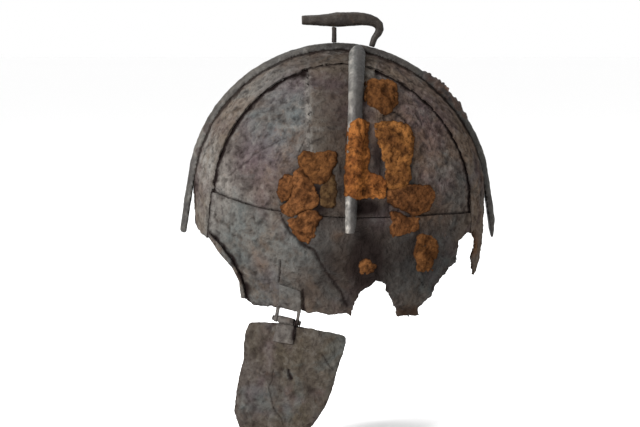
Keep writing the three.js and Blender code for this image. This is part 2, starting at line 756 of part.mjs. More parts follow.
// The cheek guard's hinge leaf, rolled round the pin at its top
function cheekLeaf() {
  const half = KNUCKLE_LENGTH / 2;
  const flare = half + CHEEK_LEAF_FLARE;
  const outline = [
    [-half, 0],
    [-half, -1.3 * KNUCKLE_RADIUS],
    [-flare, -2 * KNUCKLE_RADIUS],
    [-flare, -CHEEK_LEAF_LENGTH],
    [flare, -0.94 * CHEEK_LEAF_LENGTH],
    [flare, -2 * KNUCKLE_RADIUS],
    [half, -1.3 * KNUCKLE_RADIUS],
    [half, 0],
  ];
  const leaf = cheekLayer(LAY_GAP, LAY_GAP + LEAF_THICKNESS).intersect(hingePrism(outline));
  const knuckle = hingeBar(KNUCKLE_RADIUS, -half, half);
  return leaf.add(knuckle).subtract(hingeBar(PIN_RADIUS + PIN_PLAY, -KNUCKLE_LENGTH, KNUCKLE_LENGTH));
}

// The helmet's hinge leaf: a tab on the brow plate with two fingers that hold the pin by its ends
function helmetLeaf() {
  const corners = HINGE_TAB.map((r) => [(r.along * HINGE_TAB_WIDTH) / 2, r.up * HINGE_TAB_REACH]);
  let leaf = domeLayer(LAY_GAP, LAY_GAP + LEAF_THICKNESS).intersect(hingePrism(corners));
  const eyeMiddle = KNUCKLE_LENGTH / 2 + EYE_GAP + EYE_LENGTH / 2;
  [-1, 1].forEach((side) => {
    const near = side * eyeMiddle - EYE_LENGTH / 2;
    const eye = hingeBar(KNUCKLE_RADIUS, near, near + EYE_LENGTH);
    const ringAt = (up, inwards) => {
      const middle = hingeCentre
        .clone()
        .addScaledVector(hingeAxis, side * eyeMiddle)
        .addScaledVector(hingeUp, up)
        .addScaledVector(hingeOut, -inwards);
      return [
        [-1, -1],
        [1, -1],
        [1, 1],
        [-1, 1],
      ].map(([a, b]) =>
        middle
          .clone()
          .addScaledVector(hingeAxis, (a * EYE_LENGTH) / 2)
          .addScaledVector(hingeOut, (b * LEAF_THICKNESS) / 2),
      );
    };
    const finger = loft([ringAt(0, 0), ringAt(FINGER_LENGTH, FINGER_LEAN)]).subtract(domeSolid(LAY_GAP));
    leaf = leaf.add(finger).add(eye);
  });
  return leaf.subtract(hingeBar(PIN_RADIUS + PIN_PLAY, -KNUCKLE_LENGTH, KNUCKLE_LENGTH));
}

// The pin, with a burred head at each end
function hingePin() {
  const half = KNUCKLE_LENGTH / 2 + EYE_GAP + EYE_LENGTH + LAY_GAP;
  const head = (side) => {
    const inner = side * half;
    const outer = side * (half + PIN_HEAD_LENGTH);
    return hingeBar(PIN_HEAD_RADIUS, Math.min(inner, outer), Math.max(inner, outer));
  };
  return hingeBar(PIN_RADIUS, -half - 0.5, half + 0.5).add(head(-1)).add(head(1));
}

// Assembly
const helmet = new THREE.Group();
function place(name, solid, finish, parent = helmet) {
  const mesh = new THREE.Mesh(geometryOf(solid), finish);
  mesh.name = name;
  parent.add(mesh);
  return mesh;
}

place("long_band", longBand(), BAND_FINISH);
const band = sideBand();
const infillFront = infillPlate(-1);
const infillRear = infillPlate(1);
const strip = faceStrip();
const ridge = sideRidge();
place("side_band_left", band, BAND_FINISH);
place("side_band_right", mirrored(band), BAND_FINISH);
place("brow_plate_left", browPlate(LEFT_RIM), PLATE_FINISH);
place("brow_plate_right", mirrored(browPlate(RIGHT_RIM)), PLATE_FINISH);
place("infill_front_left", infillFront, PLATE_FINISH);
place("infill_front_right", mirrored(infillFront), PLATE_FINISH);
place("infill_rear_left", infillRear, PLATE_FINISH);
place("infill_rear_right", mirrored(infillRear), PLATE_FINISH);
place("face_strip_left", strip, BAND_FINISH);
place("face_strip_right", mirrored(strip), BAND_FINISH);
const spine = longRidge();
const beast = crestBeast(spine);
place("long_ridge", spine, RIDGE_FINISH);
place("side_ridge_left", ridge, RIDGE_FINISH);
place("side_ridge_right", mirrored(ridge), RIDGE_FINISH);
place("crest_beast", beast, CREST_FINISH);
place("crest_post", crestPost(spine, beast), CREST_FINISH);
place("hinge_leaf", helmetLeaf(), HINGE_FINISH);
place("hinge_pin", hingePin(), HINGE_FINISH);

// The cheek guard hangs from the pin with its weight below it
const swing = new THREE.Group();
swing.position.copy(hingeCentre);
swing.quaternion.setFromAxisAngle(hingeAxis, -THREE.MathUtils.degToRad(HANG_DEG));
const cheekPlate = place("cheek_guard", cheekGuard(), PLATE_FINISH, swing);
const cheekTab = place("cheek_leaf", cheekLeaf(), HINGE_FINISH, swing);
[cheekPlate, cheekTab].forEach((mesh) => mesh.position.copy(hingeCentre).negate());
helmet.add(swing);

export default helmet;
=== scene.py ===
"""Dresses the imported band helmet: corroded iron plates, ridges, crest, hinge and thick rust.

The floor, the light and the camera are made here too.
"""

import json
import logging
import math
from collections.abc import Callable
from dataclasses import dataclass, field
from enum import Enum

import bmesh
import bpy
import numpy as np
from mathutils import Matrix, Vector, noise

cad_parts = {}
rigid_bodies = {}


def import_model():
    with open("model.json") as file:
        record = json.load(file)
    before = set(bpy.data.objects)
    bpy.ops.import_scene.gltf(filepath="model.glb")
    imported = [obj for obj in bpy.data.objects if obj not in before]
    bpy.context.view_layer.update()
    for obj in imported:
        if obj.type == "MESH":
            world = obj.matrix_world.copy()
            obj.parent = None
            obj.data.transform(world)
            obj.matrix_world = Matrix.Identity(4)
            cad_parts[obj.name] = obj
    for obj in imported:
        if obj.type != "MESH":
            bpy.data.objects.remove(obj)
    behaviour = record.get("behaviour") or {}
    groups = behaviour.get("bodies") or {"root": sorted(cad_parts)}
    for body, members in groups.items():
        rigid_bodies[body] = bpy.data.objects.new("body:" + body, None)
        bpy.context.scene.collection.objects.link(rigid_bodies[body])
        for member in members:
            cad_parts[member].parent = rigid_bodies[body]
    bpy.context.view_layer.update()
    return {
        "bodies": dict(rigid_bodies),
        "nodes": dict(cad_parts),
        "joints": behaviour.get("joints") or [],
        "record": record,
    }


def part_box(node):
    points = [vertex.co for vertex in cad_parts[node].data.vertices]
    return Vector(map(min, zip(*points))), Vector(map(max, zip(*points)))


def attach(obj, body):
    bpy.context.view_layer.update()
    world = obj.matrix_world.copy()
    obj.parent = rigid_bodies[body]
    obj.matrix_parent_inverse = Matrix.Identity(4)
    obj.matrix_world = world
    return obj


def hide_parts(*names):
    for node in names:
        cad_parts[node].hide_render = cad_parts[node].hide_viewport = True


LOG = logging.getLogger("band_helmet")
# Lengths are in metres, so 3 * MM is three millimetres.
MM = 0.001
Array = np.ndarray
Socket = bpy.types.NodeSocket
Row = tuple[float, ...]
Values = Array | float
# Keeps a length that is divided by above nought.
TINY = 1e-12
# The fractal noise: how smooth it is, and how much finer each layer is than the one before.
ROUGHNESS = 0.9
LACUNARITY = 2.1


class Side(Enum):
    """The wearer's side of the helmet, as the sign of Y."""

    LEFT = -1
    RIGHT = 1


class End(Enum):
    """The face or the nape, as the sign of X."""

    FACE = -1
    NAPE = 1


class Tone(Enum):
    """What a blot does to the iron below it. The pale and dark tones hold painted highlights and painted
    shade as well as pale and dark stains.
    """

    PALE = "pale"
    DARK = "dark"
    BLUE = "blue"
    PURPLE = "purple"
    RUST = "rust"


Tones = dict[Tone, Array]


def unit(values: Array) -> Array:
    """Values kept from 0 to 1."""
    return np.clip(values, 0, 1)


def raise_tone(tones: Tones, tone: Tone, values: Array) -> None:
    """Raises one tone where it is lower than the values given.

    Args:
        tones: The tones, which are changed.
        tone: The tone to raise.
        values: Its least share at each place.
    """
    tones[tone] = np.maximum(tones[tone], values)


def keep_tones(bm: bmesh.types.BMesh, tones: Tones) -> None:
    """Keeps each tone's share at each corner of a mesh, for the materials.

    Args:
        bm: The mesh.
        tones: The shares by tone.
    """
    for tone, values in tones.items():
        layer = bm.verts.layers.float.new(tone.value)
        for vert, value in zip(bm.verts, values):
            vert[layer] = value


@dataclass(frozen=True)
class Blot:
    """A soft blot on the wearer's left, placed in the side view in millimetres."""

    tone: Tone
    x: float
    z: float
    wide: float
    high: float
    strength: float = 1.0
    turn: float = 0.0
    core: float = 1.35

    def cover(self, flat: Array) -> Array:
        """How much of the blot each place has.

        Args:
            flat: Places in the side view, in metres.

        Returns:
            The share from 0 to its strength.
        """
        away = flat / MM - (self.x, self.z)
        turn = math.radians(self.turn)
        along = away @ (math.cos(turn), math.sin(turn)) / self.wide
        across = away @ (-math.sin(turn), math.cos(turn)) / self.high
        return self.strength * unit(self.core - np.hypot(along, across))


class Look(Enum):
    """The kinds of thick rust."""

    ORANGE = "orange"
    BROWN = "brown"
    OLIVE = "olive"
    RUSSET = "russet"
    UMBER = "umber"


@dataclass(frozen=True)
class Crust:
    """A thick patch of rust on the wearer's left, outlined in the side view in millimetres."""

    name: str
    look: Look
    height: float
    lump: float
    shift: float
    outline: tuple[Row, ...]


@dataclass(frozen=True)
class Crack:
    """An open crack on the wearer's left, in the side view in millimetres, sunk into the surface and given
    painted shade.
    """

    line: tuple[Row, ...]
    width: float = 1.0
    depth: float = 0.7
    # How dark the crack's painted shade is.
    tint: float = 1.0
    core: float = 1.25
    wander: float = 1.3 * MM
    wander_size: float = 7 * MM
    width_change: float = 0.7
    width_size: float = 9 * MM

    def cover(self, flat: Array) -> Array:
        """How deep in the crack each place is.

        Args:
            flat: Places in the side view, in metres.

        Returns:
            The share from 0 to 1.
        """
        solid = np.column_stack([flat, np.zeros(len(flat))])
        twists = [fractal(solid, self.wander_size, 3, 31 + k) for k in range(2)]
        wander = self.wander * np.column_stack(twists)
        width = self.width * MM * (1 + self.width_change * fractal(solid, self.width_size, 2, 77))
        return unit(self.core - line_distance(flat + wander, np.array(self.line) * MM) / width)


def line_distance(flat: Array, line: Array) -> Array:
    """How far flat places lie from a broken line.

    Args:
        flat: The places, two columns.
        line: The line's corners, two columns.

    Returns:
        The distance of each place.
    """
    best = np.full(len(flat), np.inf)
    for start, end in zip(line[:-1], line[1:]):
        run = end - start
        share = unit(((flat - start) @ run) / max(run @ run, TINY))
        best = np.minimum(best, np.hypot(*(flat - start - share[:, None] * run).T))
    return best


def outline_distance(flat: Array, outline: Array) -> Array:
    """The signed distance to a closed outline.

    Args:
        flat: The places, two columns.
        outline: The outline's corners in order, two columns.

    Returns:
        The distance, negative inside.
    """
    closed = np.vstack([outline, outline[:1]])
    inside = np.zeros(len(flat), bool)
    for (x0, y0), (x1, y1) in zip(closed[:-1], closed[1:]):
        if y0 == y1:
            continue
        crosses = (y0 > flat[:, 1]) != (y1 > flat[:, 1])
        inside ^= crosses & (flat[:, 0] < x0 + (flat[:, 1] - y0) * (x1 - x0) / (y1 - y0))
    return np.where(inside, -1, 1) * line_distance(flat, closed)


def fractal(places: Array, size: float, octaves: int = 3, shift: float = 0.0) -> Array:
    """Smooth noise at places in space.

    Args:
        places: The places in metres, three columns.
        size: The size of the largest lumps in metres.
        octaves: How many finer layers it has.
        shift: Moves the pattern, so that two calls differ.

    Returns:
        Values of about -1 to 1.
    """
    return np.array([noise.fractal(Vector(p), ROUGHNESS, LACUNARITY, octaves) for p in places / size + shift])


def cells(places: Array, size: float, shift: float = 0.0) -> tuple[Array, Array]:
    """Cracked cells in space.

    Args:
        places: The places in metres, three columns.
        size: The cells' size in metres.
        shift: Moves the pattern.

    Returns:
        The nearness to a cell's middle and to a crack, as shares of the cell's size.
    """
    found = [noise.voronoi(Vector(p))[0] for p in places / size + shift]
    near = np.array([row[:2] for row in found])
    return near[:, 0], near[:, 1] - near[:, 0]


@dataclass(frozen=True)
class Dome:
    """The form that all the plates follow, over the outside of the bands, in metres."""

    half_length: float
    half_width: float
    height: float
    skirt: float = 0.084
    draw_in: float = 0.12
    draw_in_power: float = 3.0
    front_fullness: float = 2.0
    rear_fullness: float = 1.87
    halvings: int = 30
    probe: float = 1e-5

    def reach(self, z: Array, height: Values, ahead: Values) -> Array:
        """The share of the full plan that the dome has at a height.

        Args:
            z: The heights.
            height: The height of the top.
            ahead: The cosine of the plan angle, 1 at the nape.

        Returns:
            The share for each height.
        """
        fullness = (self.front_fullness + self.rear_fullness) / 2
        power = fullness + (self.rear_fullness - self.front_fullness) / 2 * ahead
        low = 1 - self.draw_in * (np.clip(-z, 0, None) / self.skirt) ** self.draw_in_power
        rise = np.clip(1 - (np.clip(z, 0, height) / height) ** power, TINY, 1)
        return np.where(z < 0, low, rise ** (1 / power)) - np.clip(z / height - 1, 0, None)

    def excess(self, places: Array, offset: Values) -> Array:
        """How far places lie outside the dome, as a share of its plan.

        Args:
            places: The places, three columns.
            offset: How far out the surface is moved.

        Returns:
            The share, negative inside.
        """
        along = places[:, 0] / (self.half_length + offset)
        across = places[:, 1] / (self.half_width + offset)
        plan = np.maximum(np.hypot(along, across), TINY)
        return plan - self.reach(places[:, 2], self.height + offset, along / plan)

    def hit(self, starts: Array, ways: Array, offset: Values = 0.0, far: float = 0.16) -> Array:
        """Where straight lines from inside meet the surface.

        Args:
            starts: A place inside for each line.
            ways: Each line's direction, of length 1.
            offset: How far out the surface is moved.
            far: The longest line.

        Returns:
            The places on the surface.
        """
        low = np.zeros(len(starts))
        high = np.full(len(starts), far)
        for _ in range(self.halvings):
            middle = (low + high) / 2
            inside = self.excess(starts + ways * middle[:, None], offset) < 0
            low = np.where(inside, middle, low)
            high = np.where(inside, high, middle)
        return starts + ways * low[:, None]

    def outwards(self, places: Array) -> Array:
        """The outward direction at places on the surface.

        Args:
            places: The places, three columns.

        Returns:
            Directions of length 1.
        """
        steps = self.probe * np.eye(3)
        slope = [self.excess(places + step, 0) - self.excess(places - step, 0) for step in steps]
        ways = np.array(slope).T
        return ways / np.linalg.norm(ways, axis=1)[:, None]

    def side_view(self, flat: Array, side: Side, offset: Values = 0.0) -> Array:
        """Places of the side view, moved straight onto one side of the dome.

        Args:
            flat: The places, as X and Z.
            side: The side that they go to.
            offset: How far out the surface is moved.

        Returns:
            The places, three columns.
        """
        starts = np.column_stack([flat[:, 0], np.zeros(len(flat)), flat[:, 1]])
        ways = np.tile([0.0, side.value, 0.0], (len(flat), 1))
        return self.hit(starts, ways, offset)


@dataclass(frozen=True)
class BandPlan:
    """The edges that the bands and plates share, in millimetres, the same as in the solids."""

    half_width: float = 44.5
    brow_half_width: float = 36.0
    seam: float = 0.9
    narrow_from: float = 11.4
    narrow_to: float = -30.8
    edge: tuple[Row, ...] = (
        (-139, 1.0), (-93, 0.99), (-58, 0.88), (-23, 0.81), (23, 0.81), (58, 0.89), (93, 1.0), (139, 1.0),
    )
    brow_top: tuple[Row, ...] = (
        (-113.7, 7.1), (-97.6, 4.7), (-86.7, 1.1), (-75.3, -1.8), (-64, -4.5), (-49, -6.6), (-19.4, -9.8),
        (8.2, -10.9), (72.8, -10.7), (113.7, -12.3),
    )
    side_front: tuple[Row, ...] = ((-34, -26.4), (126, -26.4))
    side_rear: tuple[Row, ...] = ((-34, 31.6), (11, 31.6), (57, 29.5), (126, 22))
    ridge_top: float = 13.5
    ridge_lean: float = 9.35
    ridge_end: float = -31.0
    ridge_rise: float = 114.0
    ridge_levels: Row = (-20.0, 110.0)
    ridge_power: float = 0.8
    seat_reach: float = 2.2
    seat_softness: float = 2.4

    def long_half(self, x: Array, z: Array) -> Array:
        """The long band's half width.

        Args:
            x: Places along the helmet, in metres.
            z: Heights, in metres.

        Returns:
            The half width in metres.
        """
        along, share = np.array(self.edge).T
        half = np.interp(x / MM, along, share) * self.half_width
        low = np.interp(z / MM, [self.narrow_to, self.narrow_from], [self.brow_half_width, self.half_width])
        return np.where((x < 0) & (z < self.narrow_from * MM), np.minimum(half, low), half) * MM

    def off_ridge(self, x: Array, z: Array) -> Array:
        """How far places lie from the side ridge's middle.

        Args:
            x: Places along the helmet, in metres.
            z: Heights, in metres.

        Returns:
            The distances in millimetres.
        """
        share = unit(1 - np.clip(z / MM, *self.ridge_levels) / self.ridge_rise)
        return np.abs(x / MM - (self.ridge_top - self.ridge_lean * share**self.ridge_power))

    def seat(self, x: Array, z: Array) -> Array:
        """Where a side ridge sits on a plate.

        Args:
            x: Places along the helmet, in metres.
            z: Heights, in metres.

        Returns:
            The shares, 1 in the middle of the seat.
        """
        return unit(self.seat_reach - self.off_ridge(x, z) / self.seat_softness) * (z > 0)

    def brow_height(self, x: Array) -> Array:
        """The height of the brow plate's top edge.

        Args:
            x: Places along the helmet, in metres.

        Returns:
            The heights in metres.
        """
        return np.interp(x / MM, *np.array(self.brow_top).T) * MM


@dataclass(frozen=True)
class Relief:
    """The unevenness of corroded iron, in metres."""

    swell: float = 0.7 * MM
    lumps: float = 0.76 * MM
    grain: float = 0.4 * MM
    flakes: float = 0.26 * MM
    pits: float = 0.3 * MM
    shift: float = 0.0
    swell_size: float = 34 * MM
    lump_size: float = 6 * MM
    grain_size: float = 2.8 * MM
    flake_size: float = 17 * MM
    flake_sharpness: float = 6.0
    pit_size: float = 4.2 * MM
    pit_share: float = 0.32
    hollow_shares: Row = (0.6, 1.1, 0.9)

    def heights(self, places: Array) -> tuple[Array, Array]:
        """How far the surface stands proud of its plain form.

        Args:
            places: Places on the surface.

        Returns:
            The heights in metres, and how deep in a hollow each place is, from -1 to 1.
        """
        swell = fractal(places, self.swell_size, 2, self.shift)
        lumps = fractal(places, self.lump_size, 3, self.shift + 7)
        grain = fractal(places, self.grain_size, 2, self.shift + 13)
        flake = np.clip(fractal(places, self.flake_size, 3, self.shift + 21) * self.flake_sharpness, -1, 1)
        middle, _ = cells(places, self.pit_size, self.shift + 3)
        pits = unit(self.pit_share - middle) / self.pit_share
        uneven = self.swell * swell + self.lumps * lumps + self.grain * grain
        pitted, lumpy, grainy = self.hollow_shares
        hollow = np.clip(pitted * pits - lumpy * lumps - grainy * grain, -1, 1)
        return uneven + self.flakes * flake - self.pits * pits, hollow


def shade(tones: Tones, hollow: Array, dark: float = 0.6, pale: float = 0.2, level: float = 0.1) -> None:
    """Paints shade into the hollows and a highlight onto the high places.

    Args:
        tones: The tones, which are changed.
        hollow: How deep in a hollow each place is.
        dark: How dark the painted shade in a hollow is.
        pale: How light the painted highlight on a high place is.
        level: How deep or high a place is where its tone starts to change.
    """
    raise_tone(tones, Tone.DARK, dark * unit(hollow - level))
    tones[Tone.PALE] = unit(tones[Tone.PALE] + pale * unit(-hollow - level))


class Marks:
    """The blots, cracks and rust that the photograph's side of the helmet shows."""

    FAR_SIZE = 26 * MM
    FAR_STRENGTH = 1.5
    FAR_LEVEL = 0.25
    FAR_MOST = 0.6
    FAR_RUST = 0.2
    FAR_DARK = 0.5
    # Some blots are painted light and shade. The thin pale lines at x -27 and at z 56 are painted highlights
    # on the side band's lit front edge and top step, and the pale blot at (1, -20) is a painted highlight on
    # the side ridge's lit foot. The dark and purple blots at (24, 34) and the dark blots at (15, -3) and (24,
    # -2) are the side ridge's painted shadow on the side band. The dark blots at (16, -44) and (34, -46) are
    # painted shade on the low brow plate, which faces down and away from the light.
    BLOTS = (
        Blot(Tone.PALE, -108, 40, 14, 60, 1.0, 20),
        Blot(Tone.PALE, -66, 88, 44, 14, 0.45, 38),
        Blot(Tone.PALE, -100, -12, 12, 22, 0.7),
        Blot(Tone.PALE, -27, 60, 2.6, 60, 1.0),
        Blot(Tone.PALE, -22, 56, 24, 2.0, 0.55),
        Blot(Tone.BLUE, -44, 58, 26, 34, 0.8, -20),
        Blot(Tone.BLUE, -78, -30, 26, 30, 0.9, -30),
        Blot(Tone.BLUE, -40, -34, 28, 20, 0.8),
        Blot(Tone.BLUE, -58, -65, 24, 20, 0.75),
        Blot(Tone.PALE, -72, -28, 24, 22, 0.22, -30),
        Blot(Tone.PALE, -40, -40, 20, 22, 0.3),
        Blot(Tone.PURPLE, -62, 28, 26, 20, 0.7),
        Blot(Tone.PURPLE, 60, 66, 26, 22, 0.9, -40),
        Blot(Tone.PURPLE, -45, 88, 24, 14, 0.6, 30),
        Blot(Tone.PURPLE, 24, -8, 24, 14, 0.8),
        Blot(Tone.PURPLE, -58, -58, 10, 20, 0.5, 30),
        Blot(Tone.DARK, 24, -2, 24, 14, 0.6),
        Blot(Tone.DARK, -2, 34, 12, 40, 0.5),
        Blot(Tone.DARK, -10, -48, 14, 34, 0.72, 25),
        Blot(Tone.DARK, 34, -46, 40, 34, 0.5),
        Blot(Tone.DARK, 46, 20, 14, 30, 0.35),
        Blot(Tone.DARK, -30, 96, 5, 4, 1.0),
        Blot(Tone.DARK, -24, 4, 24, 27, 1.0, 40),
        Blot(Tone.DARK, 15, -3, 22, 11, 1.0),
        Blot(Tone.DARK, 0, 34, 26, 86, 0.68),
        Blot(Tone.DARK, 16, -44, 30, 44, 0.95),
        Blot(Tone.DARK, 52, -40, 34, 36, 0.72),
        Blot(Tone.DARK, -20, -58, 22, 34, 0.4, 30),
        Blot(Tone.DARK, -2, 106, 70, 9, 0.4),
        Blot(Tone.DARK, 24, 34, 6, 20, 0.9),
        Blot(Tone.PURPLE, 24, 34, 8, 20, 0.7),
        Blot(Tone.PALE, 1, -20, 8, 14, 0.5),
        Blot(Tone.RUST, 104, -38, 4, 10, 0.7),
        Blot(Tone.BLUE, 60, -60, 34, 26, 0.4),
        Blot(Tone.RUST, -66, -42, 5, 14, 0.24, 30),
        Blot(Tone.RUST, -4, -24, 7, 5, 0.3),
        Blot(Tone.RUST, 49, -85, 11, 5, 0.5),
        Blot(Tone.DARK, 49, -85, 13, 8, 0.7),
        Blot(Tone.RUST, -24, -60, 12, 12, 0.1),
        Blot(Tone.RUST, 40, 45, 30, 30, 0.3),
        Blot(Tone.RUST, 60, -6, 26, 16, 0.3),
    )
    CRACKS = (
        Crack(
            ((-49, -8), (-42, -21.5), (-32, -30), (-23, -36), (-15.5, -50), (-4, -67), (1.4, -78)),
            2.1, 1.1, 0.95,
        ),
        Crack(((-48, 47), (-57, 42), (-68.5, 35), (-81, 24), (-88, 19)), 0.7, 0.4, 0.6),
        Crack(((-49.5, -44), (-49, -52), (-50.5, -60)), 1.2, 0.7),
        Crack(((-1, 76), (-6, 68), (-7, 63)), 1.0, 0.5, 0.7),
        Crack(((-30, 50), (-34, 38)), 0.9, 0.5, 0.7),
        Crack(((30, 70), (46, 62), (52, 46)), 0.8, 0.5),
        Crack(((56, -58), (62, -66)), 0.8, 0.4),
        Crack(((-18.8, -113.4), (-9.5, -126)), 0.7, 0.4, 0.8),
        Crack(((-54, -128), (-58, -142), (-54, -158), (-46, -170)), 0.7, 0.4, 0.65),
        Crack(((-42.9, -128), (-41.3, -134)), 1.7, 1.4),
        Crack(((-37.8, -89), (-38.9, -104)), 2.1, 0.3),
        Crack(
            ((-102.7, -26.5), (-94.5, -34), (-85.3, -45.8), (-78.1, -58.8), (-75.2, -72.5), (-74.8, -79)),
            2.1, 0.6,
        ),
        Crack(((-76, -64), (-74.6, -72), (-74, -79)), 3.1, 0.4),
        Crack(((-32.6, -66), (-31.6, -86)), 1.6, 0.3),
    )
    CRUSTS = (
        Crust("crust_upper", Look.UMBER, 2.4, 6, 1, (
            (18, 90), (24, 91), (36, 91), (41, 88), (41, 80), (41, 75), (36, 70), (33, 67), (28, 67),
            (23, 71), (18, 74), (16, 80),
        )),
        Crust("crust_ridge", Look.ORANGE, 2.2, 6, 2, (
            (3, 60), (11, 62), (17, 59), (17, 40), (16, 24), (23, 21), (30, 17), (29, 10), (28, 4), (19, 5),
            (10, 4), (0, 7), (0, 18), (1, 40),
        )),
        Crust("crust_rear", Look.RUSSET, 1.7, 7, 3, (
            (22, 58), (30, 60), (42, 59), (50, 56), (52, 46), (51, 39), (48, 28), (49, 18), (44, 11),
            (33, 11), (29, 16), (29, 32), (27, 41), (23, 50),
        )),
        Crust("crust_seam", Look.BROWN, 1.9, 9, 4, (
            (32, 9), (41, 11), (49, 12), (65, 12), (68, 3), (64, -6), (53, -9), (45, -6), (37, -2), (32, 2),
        )),
        Crust("crust_small", Look.BROWN, 1.8, 8, 5, (
            (35, -7), (41, -8), (47, -12), (55, -13), (55, -20), (51, -22), (41, -24), (36, -25), (34, -19),
        )),
        Crust("crust_low", Look.UMBER, 1.5, 9, 6, (
            (54, -26), (58, -24), (65, -26), (70, -30), (72, -36), (70, -42), (67, -47), (67, -53), (61, -53),
            (55, -52), (54, -40),
        )),
        Crust("crust_dot", Look.UMBER, 1.6, 5, 7, (
            (12, -47), (14, -43), (18, -44), (22, -47), (21, -51), (16, -53), (12, -52),
        )),
        Crust("crust_front_top", Look.UMBER, 3.0, 11, 8, (
            (-34, 35), (-31, 38), (-21, 38), (-8, 38), (-7, 31), (-11, 25), (-13, 18), (-19, 15), (-25, 17),
            (-30, 23), (-34, 29),
        )),
        Crust("crust_front_edge", Look.BROWN, 2.6, 9, 9, (
            (-49, 17), (-45, 20), (-40, 20), (-39, 15), (-41, 9), (-43, 4), (-47, 2), (-50, 7),
        )),
        Crust("crust_front_middle", Look.BROWN, 3.4, 12, 10, (
            (-38, 23), (-33, 26), (-31, 21), (-27, 17), (-25, 13), (-21, 7), (-21, 1), (-25, -3), (-30, -4),
            (-34, -5), (-39, -9), (-43, -9), (-47, -6), (-48, -3), (-43, 1), (-40, 6), (-38, 13),
        )),
        Crust("crust_front_olive", Look.OLIVE, 2.2, 8, 11, (
            (-18, 13), (-13, 16), (-10, 21), (-8, 14), (-8, 6), (-9, -1), (-14, -3), (-18, 0), (-19, 7),
        )),
        Crust("crust_front_foot", Look.BROWN, 3.2, 11, 12, (
            (-44, -12), (-37, -11), (-33, -8), (-28, -5), (-21, -7), (-19, -10), (-23, -17), (-24, -24),
            (-28, -28), (-34, -27), (-39, -21),
        )),
    )

    @classmethod
    def tones(cls, flat: Array) -> Tones:
        """Each tone's share at places of the side view.

        Args:
            flat: The places in metres.

        Returns:
            The shares, from 0 to 1, by tone.
        """
        found = {tone: np.zeros(len(flat)) for tone in Tone}
        for blot in cls.BLOTS:
            raise_tone(found, blot.tone, blot.cover(flat))
        return found

    @classmethod
    def cracks(cls, flat: Array) -> tuple[Array, Array]:
        """Where the cracks are.

        Args:
            flat: The places in metres.

        Returns:
            The painted shade of the cracks at each place, and their depth in metres.
        """
        share = np.zeros(len(flat))
        depth = np.zeros(len(flat))
        for crack in cls.CRACKS:
            cover = crack.cover(flat)
            share = np.maximum(share, cover * crack.tint)
            depth = np.maximum(depth, cover * crack.depth * MM)
        return share, depth

    @classmethod
    def far_tones(cls, places: Array) -> Tones:
        """Each tone's share on the side that the photograph doesn't show.

        Args:
            places: The places in metres, three columns.

        Returns:
            The shares by tone.
        """
        tones = {}
        for k, tone in enumerate(Tone):
            spread = fractal(places, cls.FAR_SIZE, 4, 50 + 9 * k)
            tones[tone] = np.clip(spread * cls.FAR_STRENGTH - cls.FAR_LEVEL, 0, cls.FAR_MOST)
        tones[Tone.RUST] *= cls.FAR_RUST
        tones[Tone.DARK] *= cls.FAR_DARK
        return tones


